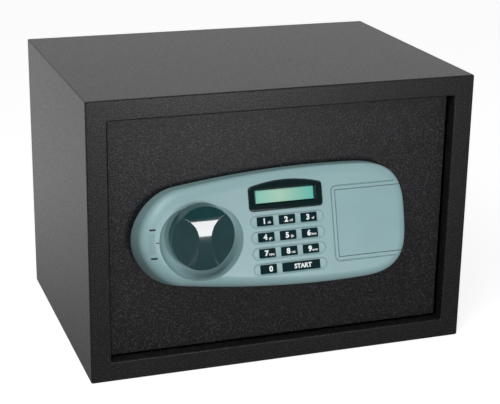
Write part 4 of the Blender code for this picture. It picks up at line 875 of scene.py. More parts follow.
# ---------------------------------------------------------------- fascia
@dataclass
class Fascia:
    """The lock's moulded fascia, whose face leans back as it rises.

    Its own frame has +X across, +Y up the face and +Z out of it, with the face at z = 0.
    """

    tilt: float = math.radians(16)
    set_out: float = 0.020
    rise: float = 0.007
    half_height: float = 0.0508
    crown_x: float = 0.030
    crown_radius: float = 0.874
    nose: float = 0.035
    tail: float = 0.048
    tail_power: float = 3.2
    nose_shoulder: tuple[float, float] = (0.0130, 0.42)  # how wide, and its share of the depth to the door
    tail_shoulder: tuple[float, float] = (0.0085, 0.22)
    draft: float = 0.0015
    wall: float = 0.0025
    cup_floor_radius: float = 0.026
    cup_fillet: float = 0.0115
    rim: float = 0.0011
    channel_depth: float = 0.0012
    channel_size: tuple[float, float] = (0.0665, 0.0100)
    key_size: tuple[float, float] = (0.0143, 0.0072)
    bezel_size: tuple[float, float] = (0.0665, 0.0248)
    bezel_arch: float = 0.004
    bezel_stand: float = 0.0012
    bezel_place: tuple[float, float] = (-0.0048, 0.0361)
    window_size: tuple[float, float] = (0.0536, 0.0118)
    window_place: tuple[float, float] = (-0.0052, 0.0354)
    cover_low: tuple[float, float] = (0.0407, -0.0228)
    cover_top: float = 0.0352
    cover_sheet: float = 0.0022
    cover_skirt: float = 0.0075
    end_width: float = 0.0105
    border: float = 0.0042
    border_drop: float = 0.0003
    border_corner: float = 0.005
    groove: tuple[float, float] = (0.0012, 0.0013)  # how wide and how deep
    recess_low: tuple[float, float] = (0.0425, 0.108)
    recess_high: tuple[float, float] = (0.0665, 0.152)
    recess_depth: float = 0.012

    def __post_init__(self) -> None:
        """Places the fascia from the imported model."""
        shell_low, shell_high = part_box("cabinet_shell")
        panel_low, panel_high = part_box("control_panel")
        self.origin = Vector((0, shell_low.y - self.set_out, (shell_low.z + shell_high.z) / 2))
        self.frame = Matrix.Translation(self.origin) @ Matrix.Rotation(math.radians(90) - self.tilt, 4, "X")
        self.left = panel_low.x + self.draft
        self.right = panel_high.x - self.draft
        self.door_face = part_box("door_plate")[0].y - JOINT_GAP
        knob_low, knob_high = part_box("knob")
        self.knob_axis = (knob_low + knob_high) / 2
        self.cup_floor = knob_high.y + 0.001

    def on_face(self, node: str) -> Vector:
        """Returns where a node's middle lies in the fascia's own frame."""
        low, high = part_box(node)
        return self.frame.inverted() @ ((low + high) / 2)

    def half(self, x: float) -> float:
        """Returns half the outline's height at x: a crowned bar with an oval nose and a squarer tail."""
        crown = self.half_height - (x - self.crown_x) ** 2 / (2 * self.crown_radius)
        nose = max(0.0, (self.left + self.nose - x) / self.nose)
        tail = min(1.0, max(0.0, (x - self.right + self.tail) / self.tail))
        return crown * math.sqrt(max(0.0, 1 - nose**2)) * (1 - tail**self.tail_power) ** (1 / self.tail_power)

    def stations(self) -> list[float]:
        """Returns the outline's x values, closer together round both ends."""
        steps, quarter = 26, math.pi / 2
        nose_end, tail_start = self.left + self.nose, self.right - self.tail
        nose = [nose_end - self.nose * math.cos(quarter * i / steps) for i in range(steps)]
        side = [nose_end + (tail_start - nose_end) * i / steps for i in range(steps)]
        power = 2 / self.tail_power
        tail = [tail_start + self.tail * math.sin(quarter * i / steps) ** power for i in range(steps + 1)]
        return nose + side + tail

    def outline(self, offset: float, share: float = 0.0) -> list[Vector]:
        """Returns the outline's points.

        Args:
            offset: how far they are moved outwards.
            share: how much of the shoulder's width they are moved inwards.

        Returns:
            The points, anticlockwise.
        """
        xs = self.stations()
        lower = [Vector((x, -self.half(x))) for x in xs[1:-1]]
        upper = [Vector((x, self.half(x))) for x in xs]
        points = lower + upper[::-1]
        moved = []
        for i, point in enumerate(points):
            along = points[(i + 1) % len(points)] - points[i - 1]
            outward = Vector((along.y, -along.x)).normalized()
            spare = offset - share * self.shoulder(point.x)[0]
            moved.append(point + outward * spare + Vector((0, self.rise)))
        return moved

    def shoulder(self, x: float) -> tuple[float, float]:
        """Returns the shoulder's width, and the share of the depth to the door over which it falls."""
        along = min(1.0, max(0.0, (x - self.left) / (self.right - self.tail - self.left)))
        ease = along * along * (3 - 2 * along)
        nose, tail = self.nose_shoulder, self.tail_shoulder
        return nose[0] + (tail[0] - nose[0]) * ease, nose[1] + (tail[1] - nose[1]) * ease

    def door_level(self, y: float) -> float:
        """Returns the height in the fascia's frame at which a wall meets the door, at y up the face."""
        depth = self.door_face - self.origin.y
        return (y * math.sin(self.tilt) - depth) / math.cos(self.tilt)

    def hull(self, name: str, inset: float, drop: float, below: float = 0.0, steps: int = 10) -> bpy.types.Object:
        """Makes the fascia's solid form.

        Args:
            name: the new object's name.
            inset: how far its walls are moved in.
            drop: how far its face is lowered.
            below: how far its foot runs past the door's face.
            steps: how many rings round its shoulder.

        Returns:
            The solid, in the world's frame.
        """
        foot = self.outline(self.draft - inset)
        rings = [[(p.x, p.y, self.door_level(p.y) - below) for p in foot]]
        edge = self.outline(0)
        for step in range(steps + 1):
            angle = math.pi / 2 * step / steps
            ring = []
            for outer, p in zip(edge, self.outline(-inset, 1 - math.cos(angle))):
                fall = -self.door_level(outer.y) * self.shoulder(outer.x)[1]
                ring.append((p.x, p.y, -fall * (1 - math.sin(angle)) - drop))
            rings.append(ring)
        return lofted(name, rings, self.frame)

    def cup_tool(self) -> bpy.types.Object:
        """Makes the cutter of the knob's cup: a floor, a wide fillet and a rim rounded into the face."""
        steps = 96
        bearings = [2 * math.pi * i / steps for i in range(steps)]
        sections = [self.cup_section(bearing) for bearing in bearings]
        rings = []
        for k in range(len(sections[0])):
            ring = []
            for bearing, section in zip(bearings, sections):
                radius, height = section[k]
                ring.append((radius * math.cos(bearing), radius * math.sin(bearing), height))
            rings.append(ring)
        place = at(self.knob_axis.x, self.cup_floor, self.knob_axis.z, Facing.FRONT)
        return lofted("cup_tool", rings, place)

    def cup_section(self, bearing: float) -> list[tuple[float, float]]:
        """Returns the cup's (radius, height) points along one bearing from the knob's axis.

        Args:
            bearing: the angle about the axis, with 90 degrees upwards.

        Returns:
            The points from the middle of the floor over the rim and up past the face.
        """
        slope = math.tan(self.tilt)
        face_here = self.origin.y + (self.knob_axis.z - self.origin.z) * slope
        stand = self.cup_floor - face_here
        fall = math.sin(bearing) * slope
        quarter = math.pi / 2

        def surface(s: float) -> tuple[float, float, float]:
            """Returns the radius, height and direction at a length s along the floor and the fillet."""
            past = s - self.cup_floor_radius
            if past <= 0:
                return s, 0.0, 0.0
            angle = past / self.cup_fillet
            if angle < quarter:
                radius = self.cup_floor_radius + self.cup_fillet * math.sin(angle)
                return radius, self.cup_fillet * (1 - math.cos(angle)), angle
            rise = past - self.cup_fillet * quarter
            return self.cup_floor_radius + self.cup_fillet, self.cup_fillet + rise, quarter

        low, high = 0.0, 0.2
        for _ in range(48):
            middle = (low + high) / 2
            radius, height, _turn = surface(middle)
            below_face = height < stand - radius * fall
            low, high = (middle, high) if below_face else (low, middle)
        meet_radius, meet_height, direction = surface(low)
        face_direction = -math.atan(fall)
        bend = max(direction - face_direction, math.radians(2))
        reach = self.rim * math.tan(bend / 2)
        start = low - reach
        points = []
        shares = [0.06, 0.35, 0.55, 0.68, 0.74, 0.79, 0.83, 0.87, 0.90, 0.93, 0.96, 0.98, 1.0]
        for share in shares:
            radius, height, _turn = surface(start * share)
            points.append((radius, height))
        radius, height, direction = surface(start)
        arcs = 5
        step = bend * 0.94 / arcs
        for i in range(arcs):
            heading = direction - step * (i + 0.5)
            length = 2 * self.rim * math.sin(step / 2)
            radius += length * math.cos(heading)
            height += length * math.sin(heading)
            points.append((radius, height))
        heading = direction - bend * 0.94
        out = 0.0012
        points.append((radius + out * math.cos(heading), height + out * math.sin(heading) + 0.0001))
        points.append((radius + out * math.cos(heading), self.cup_fillet * 2.4))
        return points

    def bezel_outline(self, spare: float = 0.0) -> list[tuple[float, float]]:
        """Returns the display bezel's outline: round corners under an arched top."""
        half = self.bezel_size[0] / 2 + spare
        low = self.bezel_place[1] - self.bezel_size[1] / 2 - spare
        shoulder = self.bezel_place[1] + self.bezel_size[1] / 2 - self.bezel_arch + spare
        corner, steps = max(0.003 + spare, 0.0006), 24
        span = half - corner
        top = [
            (span * (1 - 2 * i / steps), shoulder + self.bezel_arch * (1 - (1 - 2 * i / steps) ** 2))
            for i in range(1, steps)
        ]
        points = (
            corner_arc((half - corner, low + corner), corner, -90, 6)
            + corner_arc((half - corner, shoulder - corner), corner, 0, 6)
            + top
            + corner_arc((-half + corner, shoulder - corner), corner, 90, 6)
            + corner_arc((-half + corner, low + corner), corner, 180, 6)
        )
        return [(self.bezel_place[0] + x, y) for x, y in points]

    def key_rows(self) -> list[tuple[float, float]]:
        """Returns the middle of each row of keys in the fascia's frame."""
        middle_x = self.on_face("key_2").x
        return [(middle_x, self.on_face(name).y) for name in ("key_1", "key_4", "key_7", "key_0")]

    def window(self) -> tuple[Vector, Vector]:
        """Returns the corners of the display's window."""
        middle, half = Vector(self.window_place), Vector(self.window_size) / 2
        return middle - half, middle + half

    def build(self) -> None:
        """Builds the shell, the cover, the display, the keys and the printed scale."""
        self.build_shell()
        self.build_cover()
        self.build_display()
        self.build_keys()
        self.build_scale()

    def build_shell(self) -> None:
        """Moulds the shell: its solid form, hollowed, with the cup, recess, pockets and grooves cut in."""
        shell = self.hull("fascia", 0, 0)
        core = self.hull("core_tool", self.wall, self.wall, OVERCUT, 10)
        axis = at(self.knob_axis.x, self.cup_floor, self.knob_axis.z, Facing.FRONT)
        fillet = corner_arc((self.cup_floor_radius, self.cup_fillet), self.cup_fillet + self.wall, -90, 6)
        reach = 2 * self.cup_fillet
        keep = [(0.002, -self.wall), *fillet, (self.cup_floor_radius + self.cup_fillet + self.wall, reach)]
        work(core, turned("keep_cup", keep, axis))
        floor_y = self.origin.y + self.recess_depth
        low = (self.recess_low[0] - self.wall, self.origin.y - reach, self.recess_low[1] - self.wall)
        high = (self.recess_high[0] + self.wall, floor_y + self.wall, self.recess_high[1] + self.wall)
        work(core, block("keep_recess", low, high))
        past = self.right + self.draft + OVERCUT
        margin = JOINT_GAP + self.wall
        seat_low = (self.cover_low[0] - margin, self.cover_low[1] - margin)
        seat_top = self.cover_top + margin
        depth = -self.cover_sheet - 2 * JOINT_GAP - self.wall
        work(core, block("keep_ledge", (*seat_low, depth), (past, seat_top, OVERCUT), self.frame))
        end = self.right - self.end_width - self.wall
        depth = -self.cover_skirt - 2 * JOINT_GAP - self.wall
        low, high = seat_low[1] - JOINT_GAP, seat_top + JOINT_GAP
        work(core, block("keep_end", (end, low, depth), (past, high, 2 * OVERCUT), self.frame))
        work(shell, core)
        work(shell, self.cup_tool())
        work(shell, rod("spindle_tool", 0.0043, -2 * self.wall, OVERCUT, axis))
        recess_low = (self.recess_low[0], self.origin.y - reach, self.recess_low[1])
        work(shell, block("recess_tool", recess_low, (self.recess_high[0], floor_y, self.recess_high[1])))
        barrel = sum(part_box("lock_barrel"), Vector()) / 2
        work(shell, rod("barrel_tool", 0.0088, -2 * self.wall, OVERCUT, at(barrel.x, floor_y, barrel.z, Facing.FRONT)))
        self.cut_face(shell)
        shade(shell, 32)
        self.shell = fit(shell, "door", FASCIA_PLASTIC, ["control_panel"])

    def cut_face(self, shell: bpy.types.Object) -> None:
        """Cuts the display's pocket, the key channels and holes and the cover's seat into the face."""
        mouth = flared_mouth(0.0005)
        rings = [[(x, y, -0.001) for x, y in self.bezel_outline(JOINT_GAP)]]
        rings += [[(x, y, z) for x, y in self.bezel_outline(JOINT_GAP + spare)] for spare, z in mouth]
        work(shell, lofted("pocket_tool", rings, self.frame))
        low, high = grown(*self.window(), 2 * JOINT_GAP)
        work(shell, block("window_tool", (*low, -2 * self.wall), (*high, OVERCUT), self.frame))
        half = Vector(self.channel_size) / 2
        for i, middle in enumerate(self.key_rows()):
            centre = Vector(middle)
            layers = [(-0.0014, -self.channel_depth), (-0.0005, -self.channel_depth * 0.85), *flared_mouth(0.0008)]
            tool = pad(f"channel_{i}", centre - half, centre + half, half.y - 0.00005, layers, self.frame)
            work(shell, tool)
        for name, low, high in self.keys():
            low, high = grown(low, high, JOINT_GAP)
            work(shell, block(f"{name}_tool", (*low, -2 * self.wall), (*high, OVERCUT), self.frame))
        past = self.right + self.draft + OVERCUT
        spare, corner = self.border, self.border_corner
        low = (self.cover_low[0] - spare, self.cover_low[1] - spare)
        high = (past + corner, self.cover_top + spare)
        layers = [(-0.0003, -self.border_drop), *flared_mouth(0.0003)]
        work(shell, pad("border_tool", low, high, corner, layers, self.frame))
        wide, deep = self.groove
        ring = pad("groove_tool", low, high, corner, [(-wide / 3, -deep), (0, -deep / 2), *flared_mouth(0.0003)], self.frame)
        layers = [(-wide * 0.7, -2 * deep), (-wide * 0.7, -deep), (-wide, -self.border_drop), (-wide, 2 * OVERCUT)]
        inner = pad("island_tool", low, (high[0] + OVERCUT, high[1]), corner, layers, self.frame)
        work(shell, work(ring, inner))
        gap = 1.4 * JOINT_GAP
        seat_low = (self.cover_low[0] - gap, self.cover_low[1] - gap)
        seat_high = (past, self.cover_top + gap)
        depth = -self.cover_sheet - JOINT_GAP
        work(shell, block("seat_tool", (*seat_low, depth), (*seat_high, OVERCUT), self.frame))
        end = self.right - self.end_width
        depth = -self.cover_skirt - JOINT_GAP
        work(shell, block("end_tool", (end, seat_low[1], depth), (*seat_high, 0), self.frame))

    def build_cover(self) -> None:
        """Moulds the sliding cover over the override lock, flush with the fascia's own form."""
        drop = self.border_drop / 2
        cover = self.hull("lock_cover", 0, drop)
        past = self.right + self.draft + OVERCUT
        layers = [(0, -self.cover_sheet), (0, -drop - 0.0005), (-0.0001, -drop - 0.0002), (-0.0004, -drop + 0.0001)]
        layers += [(-0.0004, OVERCUT)]
        low, high = self.cover_low, (past, self.cover_top)
        keep = pad("keep_tool", low, high, 0.0006, layers, self.frame)
        end = self.right - self.end_width + JOINT_GAP
        skirt = block("skirt_tool", (end, low[1], -self.cover_skirt), (past, high[1], -drop - 0.0003), self.frame)
        work(cover, work(keep, skirt, Cut.JOIN), Cut.KEEP)
        shade(cover, 32)
        fit(cover, "key_cover", COVER_PLASTIC, ["key_cover"])

    def build_display(self) -> None:
        """Moulds the bezel round the display and lays the glass behind its window."""
        wall = rounded_top(self.bezel_stand, 0.0010)
        rings = [[(x, y, -0.001 + JOINT_GAP) for x, y in self.bezel_outline()]]
        rings += [[(x, y, z) for x, y in self.bezel_outline(spare)] for spare, z in wall]
        bezel = lofted("bezel", rings, self.frame)
        low, high = self.window()
        layers = [(0, -self.wall), (0, -0.0004), (0.0012, self.bezel_stand - 0.0002), (0.0018, self.bezel_stand * 2)]
        work(bezel, pad("window_tool", low, high, 0.0003, layers, self.frame))
        shade(bezel, 30)
        fit(bezel, "door", BEZEL_GLOSS, ["display_bezel"])
        layers = [(-JOINT_GAP, -self.wall), (-JOINT_GAP, -0.0015), (-JOINT_GAP - 0.0002, -0.0013)]
        glass = shade(pad("display_glass", low, high, 0.0006, layers, self.frame))
        fit(glass, "door", LCD_GLASS, ["display_window"])

    def keys(self) -> list[tuple[str, Vector, Vector]]:
        """Returns each key's name and the corners of its cap in the fascia's frame."""
        found = []
        pitch = self.on_face("key_2").x - self.on_face("key_1").x
        for name in sorted(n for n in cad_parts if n.startswith("key_") and n != "key_cover"):
            width = self.key_size[0] + (pitch if name == "key_start" else 0)
            centre = self.on_face(name).to_2d()
            half = Vector((width, self.key_size[1])) / 2
            found.append((name, centre - half, centre + half))
        return found

    def build_keys(self) -> None:
        """Moulds each key with its skirt under the face, and prints its legend."""
        letters = {"1": "ab", "2": "cd", "3": "ef", "4": "gh", "5": "ijk", "6": "lmn", "7": "opq", "8": "rst", "9": "uvw"}
        skirt_top = -self.wall - JOINT_GAP
        for name, low, high in self.keys():
            skirt = 0.001
            layers = [(skirt, skirt_top - skirt), (skirt, skirt_top - 0.0002), (skirt - 0.0002, skirt_top)]
            layers += [(0, skirt_top + 0.00005), *rounded_top(0.0002, 0.0004)]
            cap = shade(pad(f"cap_{name[4:]}", low, high, 0.0008, layers, self.frame))
            fit(cap, name, KEY_RUBBER, [name])
            centre = (low + high) / 2
            if name == "key_start":
                print_at = (centre.x + 0.0012, centre.y)
                legend = lettering("legend_start", "START", 0.0054, print_at, 0.0002, self.frame, 0.00022)
            else:
                digit = name[4:]
                offset = 0.0012 if digit in letters else 0.0018
                print_at = (centre.x - offset + (0.0036 if digit == "0" else 0), centre.y)
                legend = lettering(f"legend_{digit}", digit, 0.0064, print_at, 0.0002, self.frame, 0.00032)
                if digit in letters:
                    print_at = (centre.x + 0.0033, centre.y - 0.0010)
                    small = lettering("small", letters[digit], 0.0031, print_at, 0.0002, self.frame, 0.00006)
                    legend = joined(f"legend_{digit}", [legend, small])
            fit(legend, name, WHITE_INK)

    def build_scale(self) -> None:
        """Prints the knob's scale: two bars, the fine lines between them and the pointer's mark."""
        bars = [self.stroke(f"bar_{i}", -0.1262, -0.1212, y, 0.0008) for i, y in enumerate((0.0165, -0.0075))]
        fit(joined("scale_bars", bars), "door", BLACK_INK)
        count = 12
        ys = [0.0122 - 0.0154 * i / (count - 1) for i in range(count)]
        lines = [self.stroke(f"line_{i}", -0.1278, -0.1222, y, 0.00028) for i, y in enumerate(ys)]
        fit(joined("scale_lines", lines), "door", GREY_INK)
        fit(self.stroke("scale_mark", -0.1216, -0.1190, 0.0054, 0.0005), "door", BLACK_INK)

    def stroke(self, name: str, left: float, right: float, y: float, half: float) -> bpy.types.Object:
        """Prints one level stroke on the curved shoulder of the fascia.

        Args:
            name: the new object's name.
            left: where it starts.
            right: where it ends.
            y: its place up the face.
            half: half its thickness.

        Returns:
            The stroke, a thin closed plate that follows the shoulder.
        """
        steps, ink = 6, 0.00006
        rings = []
        for i in range(steps + 1):
            x = left + (right - left) * i / steps
            rings.append([(x, y - half, -ink), (x, y + half, -ink), (x, y + half, ink), (x, y - half, ink)])
        return printed_on(lofted(name, rings, self.frame), self.shell, self.frame)


# ---------------------------------------------------------------- knob
@dataclass
class Knob:
    """The round smoked knob, scooped on both sides into a waisted grip."""

    waist: float = 0.010
    scoop_radius: float = 0.055
    scoop_depth: float = 0.0078
    edge: float = 0.0010
    crown_radius: float = 0.108
    crown_drop: float = 0.010

    def build(self) -> None:
        """Moulds the knob and dresses its spindle and cam."""
        low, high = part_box("knob")
        centre = (low + high) / 2
        radius, height = (high.z - low.z) / 2, high.y - low.y
        steps = 96
        profile = [(radius - self.edge, 0), (radius, self.edge), (radius, height - 2.2 * self.edge)]
        for i in range(1, 7):
            angle = math.pi / 2 * i / 6
            profile.append((radius - 2 * self.edge * (1 - math.cos(angle)), height - 2.2 * self.edge * (1 - math.sin(angle))))
        place = at(centre.x, high.y, centre.z, Facing.FRONT)
        knob = turned("knob_grip", profile, place, steps)
        axis = place @ Matrix.Translation((0, -self.crown_drop, height - self.crown_radius)) @ Facing.RIGHT.value
        work(knob, rod("crown_tool", self.crown_radius, -height * 2, height * 2, axis, 256), Cut.KEEP)
        for side in (-1, 1):
            work(knob, self.scoop(side, height, place))
        shade(soften(knob, 0.0006, 2, 30), 28)
        fit(knob, "knob", KNOB_SMOKE, ["knob"])
        dress_node("knob_spindle", ZINC)
        dress_node("drive_cam", ZINC)

    def scoop(self, side: int, height: float, place: Matrix) -> bpy.types.Object:
        """Makes the cutter of one scoop: a wide flat ellipsoid whose edge leaves the waist."""
        only_none()
        bpy.ops.mesh.primitive_uv_sphere_add(segments=128, ring_count=64, radius=1)
        tool = named("scoop_tool")
        tool.scale = (self.scoop_radius, self.scoop_radius, self.scoop_depth)
        tool.location = (side * (self.scoop_radius + self.waist / 2), 0, height)
        settle(tool)
        return settle(tool, place)


# ---------------------------------------------------------------- bolt work
@dataclass
class BoltWork:
    """The two bolts, the carriage that carries them and the solenoid that blocks it."""

    chamfer: float = 0.0015

    def build(self) -> None:
        """Turns the bolts and dresses the rest."""
        for name in ("bolt_lower", "bolt_upper"):
            self.build_bolt(name)
        for name in ("bolt_carriage", "bolt_guide", "guide_stud_lower", "guide_stud_upper", "solenoid_body"):
            dress_node(name, ZINC)
        dress_node("solenoid_plunger", CHROME)

    def build_bolt(self, name: str) -> None:
        """Turns one bolt with a chamfered nose."""
        low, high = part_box(name)
        radius, length = (high.z - low.z) / 2, high.x - low.x
        centre = (low + high) / 2
        profile = [
            (radius - 2 * self.chamfer, 0),
            (radius - self.chamfer * 1.2, 0.0002),
            (radius - 0.0002, self.chamfer),
            (radius, self.chamfer + 0.0004),
            (radius, length - 0.0003),
            (radius - 0.0003, length),
        ]
        bolt = shade(turned(f"{name}_bar", profile, at(low.x, centre.y, centre.z, Facing.RIGHT), 64))
        fit(bolt, "bolts", CHROME, [name])


# ---------------------------------------------------------------- override lock
@dataclass
class OverrideLock:
    """The emergency key lock under the sliding cover."""

    def build(self) -> None:
        """Dresses the barrel, the plug, the nut and the cam."""
        dress_node("lock_barrel", NICKEL)
        dress_node("lock_plug", BRASS)
        dress_node("lock_nut", ZINC)
        dress_node("lock_cam", ZINC)


# ---------------------------------------------------------------- inner case
@dataclass
class InnerCase:
    """The cover over the bolt work, with the battery box, the reset button and the screws."""

    def build(self) -> None:
        """Dresses the case and builds the screws, the cells, the lid's grip and the button."""
        dress_node("lock_case", CASE_PLASTIC)
        dress_node("battery_tray", BLACK_PLASTIC)
        dress_node("battery_lid", BLACK_PLASTIC)
        dress_node("cable_grommet", BLACK_PLASTIC)
        dress_node("keypad_mat", KEY_RUBBER)
        dress_node("circuit_board", BOARD_GREEN)
        for i in range(1, 5):
            self.build_screw(f"case_screw_{i}")
            self.build_screw(f"panel_screw_{i}")
            self.build_cell(f"battery_{i}", i % 2 == 0)
        self.build_button()
        self.build_grip()

    def build_screw(self, node: str) -> None:
        """Turns one pan-head screw and cuts its cross recess."""
        low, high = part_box(node)
        centre = (low + high) / 2
        head, length = (high.x - low.x) / 2, high.y - low.y
        shank, thick = 0.0019, 0.0025
        profile = [(shank * 0.7, 0), (shank, 0.0004), (shank, length - thick), (head, length - thick)]
        for i in range(6):
            angle = math.pi / 2 * (0.1 + 0.85 * i / 6)
            profile.append((head * math.cos(angle * 0.92), length - thick + thick * math.sin(angle)))
        place = at(centre.x, low.y, centre.z, Facing.BACK)
        screw = turned(f"{node}_pan", profile, place, 32)
        for turn in (20, 110):
            bar = block("cross_tool", (-head * 0.62, -0.00045, length - 0.0016), (head * 0.62, 0.00045, length + OVERCUT))
            settle(bar, place @ Matrix.Rotation(math.radians(turn), 4, "Z"))
            work(screw, bar)
        shade(screw, 40)
        fit(screw, "door", ZINC, [node])

    def build_cell(self, node: str, turned_over: bool) -> None:
        """Builds one AA cell: a dark jacket with a copper shoulder, crimped ends and a contact nub.

        Args:
            node: the model's node that the cell stands for.
            turned_over: whether its contact points down.
        """
        low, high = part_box(node)
        centre = (low + high) / 2
        radius, length = (high.x - low.x) / 2, high.z - low.z
        foot = Facing.UP.value
        place = Matrix.Translation((centre.x, centre.y, low.z)) @ foot
        if turned_over:
            place = Matrix.Translation((centre.x, centre.y, high.z)) @ Matrix.Rotation(math.pi, 4, "X")
        body = length - 0.001
        split = body * 0.70
        jacket = [(radius * 0.78, 0), (radius - 0.0004, 0.0003), (radius, 0.0009), (radius, split)]
        copper = [(radius, split), (radius, body - 0.0009), (radius - 0.0005, body - 0.0002), (radius * 0.72, body)]
        nub = [(0.0028, body), (0.0028, length - 0.0003), (0.0024, length)]
        lower = shade(turned(f"{node}_jacket", jacket, place, 40))
        upper = shade(turned(f"{node}_shoulder", copper, place, 40))
        tip = shade(turned(f"{node}_contact", nub, place, 24))
        fit(lower, "door", CELL_BLACK, [node])
        fit(upper, "door", CELL_COPPER)
        fit(tip, "door", ZINC)

    def build_button(self) -> None:
        """Turns the reset button with a domed face."""
        low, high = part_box("reset_button")
        centre = (low + high) / 2
        flange, height = (high.x - low.x) / 2, high.y - low.y
        radius = flange - 0.0015
        profile = [(flange, 0), (flange, 0.0013), (flange - 0.0002, 0.0015), (radius, 0.0015), (radius, height - 0.0012)]
        for i in range(1, 6):
            angle = math.pi / 2 * i / 6
            profile.append((radius * math.cos(angle), height - 0.0012 * (1 - math.sin(angle))))
        button = shade(turned("button_red", profile, at(centre.x, low.y, centre.z, Facing.BACK), 40))
        fit(button, "reset_button", RED_PLASTIC, ["reset_button"])

    def build_grip(self) -> None:
        """Moulds the ribs by which a finger slides the battery lid."""
        low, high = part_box("battery_lid")
        centre = (low.x + high.x) / 2
        ribs = []
        for i in range(5):
            z = high.z - 0.008 - i * 0.0028
            place = at(centre, high.y, z, Facing.BACK)
            rings = [(0, -0.0002), (0, 0.0004), (-0.0003, 0.0007)]
            ribs.append(pad(f"rib_{i}", (-0.009, -0.0006), (0.009, 0.0006), 0.0004, rings, place))
        fit(shade(joined("lid_ribs", ribs)), "battery_lid", BLACK_PLASTIC)


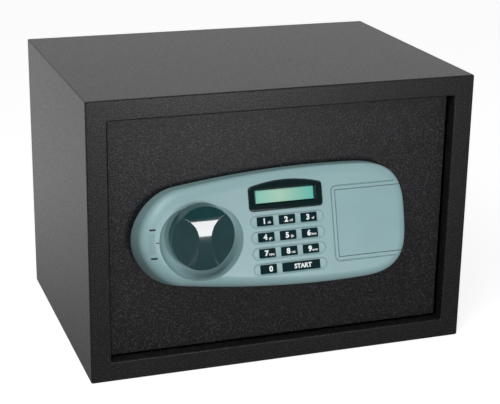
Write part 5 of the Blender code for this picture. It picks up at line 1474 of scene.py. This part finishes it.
# ---------------------------------------------------------------- studio
@dataclass
class Studio:
    """A pale floor, a soft white surround, two soft lamps and the camera."""

    eye: Vector = field(default_factory=lambda: Vector((-0.40025, -1.16392, 0.52643)))
    forward: Vector = field(default_factory=lambda: Vector((0.31537, 0.89270, -0.32192)))
    right: Vector = field(default_factory=lambda: Vector((0.94448, -0.32823, 0.01505)))
    lens: float = 97.86
    fill: float = 0.24
    glow: float = 0.80

    def build(self) -> None:
        """Sets up the camera, the lamps, the floor and the surround."""
        self.build_camera()
        self.build_lamp("key_lamp", (0.21, -1.17, 0.135), (0, -0.125, 0.135), (0.24, 0.26), 4.0)
        self.build_lamp("top_lamp", (-0.42, -0.62, 0.86), (-0.05, -0.125, 0.14), (0.45, 0.45), 4.3)
        self.build_floor()
        self.build_surround()
        bpy.context.scene.view_settings.view_transform = "Standard"

    def build_camera(self) -> None:
        """Stands the camera where the object is seen from its left and above."""
        camera = bpy.data.objects.new("camera", bpy.data.cameras.new("camera"))
        bpy.context.scene.collection.objects.link(camera)
        back = -self.forward
        up = back.cross(self.right)
        turn = Matrix((self.right, up, back)).transposed().to_4x4()
        camera.matrix_world = Matrix.Translation(self.eye) @ turn
        camera.data.sensor_width = 36
        camera.data.lens = self.lens
        camera.data.clip_start = 0.05
        bpy.context.scene.camera = camera

    def build_lamp(
        self, name: str, place: Sequence[float], target: Sequence[float], size: tuple[float, float], power: float
    ) -> None:
        """Adds one soft lamp of a width and a height that looks at a point."""
        lamp = bpy.data.objects.new(name, bpy.data.lights.new(name, "AREA"))
        bpy.context.scene.collection.objects.link(lamp)
        lamp.data.shape = "RECTANGLE"
        lamp.data.size, lamp.data.size_y = size
        lamp.data.energy = power
        lamp.location = place
        lamp.rotation_mode = "QUATERNION"
        lamp.rotation_quaternion = (Vector(target) - Vector(place)).to_track_quat("-Z", "Y")

    def build_floor(self) -> None:
        """Lays the floor: plain and pale, a little brighter to the eye, with painted shade in its reflections: the
        glow that gloss sees fades out near the safe.
        """
        only_none()
        bpy.ops.mesh.primitive_plane_add(size=40, location=(0, 0, -0.0005))
        floor = named("floor")
        settle(floor)
        nodes = Nodes("floor_paper")
        nodes.link(nodes.ramp(nodes.noise(0.8, 2), [(0.3, (0.57, 0.57, 0.57)), (0.7, (0.59, 0.59, 0.59))]), nodes.surface.inputs["Base Color"])
        nodes.surface.inputs["Roughness"].default_value = 0.9
        nodes.surface.inputs["Specular IOR Level"].default_value = 0.1
        glow = nodes.tree.nodes.new("ShaderNodeEmission")
        glow.inputs["Color"].default_value = (self.glow, self.glow, self.glow, 1)
        # painted shade in reflections: gloss sees the floor's glow fade out towards a point just before the door
        distance = nodes.tree.nodes.new("ShaderNodeVectorMath")
        distance.operation = "DISTANCE"
        distance.inputs[1].default_value = (0.15, -0.55, 0)
        nodes.link(nodes.place, distance.inputs[0])
        painted_shade_in_reflections = nodes.tree.nodes.new("ShaderNodeMapRange")
        painted_shade_in_reflections.interpolation_type = "SMOOTHSTEP"
        painted_shade_in_reflections.inputs["From Min"].default_value = 0.35
        painted_shade_in_reflections.inputs["From Max"].default_value = 1.2
        nodes.link(distance.outputs["Value"], painted_shade_in_reflections.inputs["Value"])
        nodes.link(seen_directly(nodes.tree, painted_shade_in_reflections.outputs["Result"]), glow.inputs["Strength"])
        add = nodes.tree.nodes.new("ShaderNodeAddShader")
        nodes.link(nodes.surface.outputs["BSDF"], add.inputs[0])
        nodes.link(glow.outputs["Emission"], add.inputs[1])
        nodes.link(add.outputs["Shader"], nodes.tree.nodes["Material Output"].inputs["Surface"])
        floor.data.materials.append(nodes.material)

    def build_surround(self) -> None:
        """Makes the surround white to the eye and in reflections, dimmer before the door, and a soft fill."""
        world = bpy.data.worlds.new("surround")
        bpy.context.scene.world = world
        world.use_nodes = True
        tree = world.node_tree
        background = tree.nodes["Background"]
        place = tree.nodes.new("ShaderNodeTexCoord").outputs["Generated"]
        parts = tree.nodes.new("ShaderNodeSeparateXYZ")
        tree.links.new(place, parts.inputs["Vector"])
        dim = tree.nodes.new("ShaderNodeMapRange")
        dim.interpolation_type = "SMOOTHSTEP"
        dim.inputs["From Min"].default_value = -0.95
        dim.inputs["From Max"].default_value = -0.35
        dim.inputs["To Min"].default_value = 0.15
        dim.inputs["To Max"].default_value = 0.85
        tree.links.new(parts.outputs["Y"], dim.inputs["Value"])
        look = tree.nodes.new("ShaderNodeMix")
        look.inputs["B"].default_value = 1
        tree.links.new(tree.nodes.new("ShaderNodeLightPath").outputs["Is Camera Ray"], look.inputs["Factor"])
        tree.links.new(dim.outputs["Result"], look.inputs["A"])
        mix = tree.nodes.new("ShaderNodeMix")
        mix.inputs["A"].default_value = self.fill
        tree.links.new(seen_directly(tree), mix.inputs["Factor"])
        tree.links.new(look.outputs["Result"], mix.inputs["B"])
        background.inputs["Color"].default_value = (1, 1, 1, 1)
        tree.links.new(mix.outputs["Result"], background.inputs["Strength"])


def seen_directly(
    tree: bpy.types.NodeTree, reflected: bpy.types.NodeSocket | None = None
) -> bpy.types.NodeSocket:
    """Returns 1 for rays from the camera, from gloss and through clear material, and 0 for soft light.

    Args:
        tree: the node tree to work in.
        reflected: what rays from gloss and through clear material get in place of 1.

    Returns:
        The value's socket.
    """
    path = tree.nodes.new("ShaderNodeLightPath")

    def larger(a: bpy.types.NodeSocket, b: bpy.types.NodeSocket) -> bpy.types.NodeSocket:
        """Returns the larger of two values."""
        node = tree.nodes.new("ShaderNodeMath")
        node.operation = "MAXIMUM"
        tree.links.new(a, node.inputs[0])
        tree.links.new(b, node.inputs[1])
        return node.outputs["Value"]

    bounced = larger(path.outputs["Is Glossy Ray"], path.outputs["Is Transmission Ray"])
    if reflected is not None:
        scaled = tree.nodes.new("ShaderNodeMath")
        scaled.operation = "MULTIPLY"
        tree.links.new(bounced, scaled.inputs[0])
        tree.links.new(reflected, scaled.inputs[1])
        bounced = scaled.outputs["Value"]
    return larger(path.outputs["Is Camera Ray"], bounced)


def main() -> None:
    """Builds the studio and every sub-assembly in order."""
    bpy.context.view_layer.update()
    for assembly in (Studio(), Cabinet(), Door(), Fascia(), Knob(), BoltWork(), OverrideLock(), InnerCase()):
        log.info("building %s", type(assembly).__name__)
        assembly.build()


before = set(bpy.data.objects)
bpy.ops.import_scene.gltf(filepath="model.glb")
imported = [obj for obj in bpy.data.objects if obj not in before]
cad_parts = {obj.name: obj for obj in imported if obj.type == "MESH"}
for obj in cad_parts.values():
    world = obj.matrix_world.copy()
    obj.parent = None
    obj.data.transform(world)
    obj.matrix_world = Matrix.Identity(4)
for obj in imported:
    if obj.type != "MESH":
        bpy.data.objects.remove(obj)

if __name__ == "__main__":
    logging.basicConfig(level=logging.INFO, format="%(name)s: %(message)s", stream=sys.stdout)
    main()
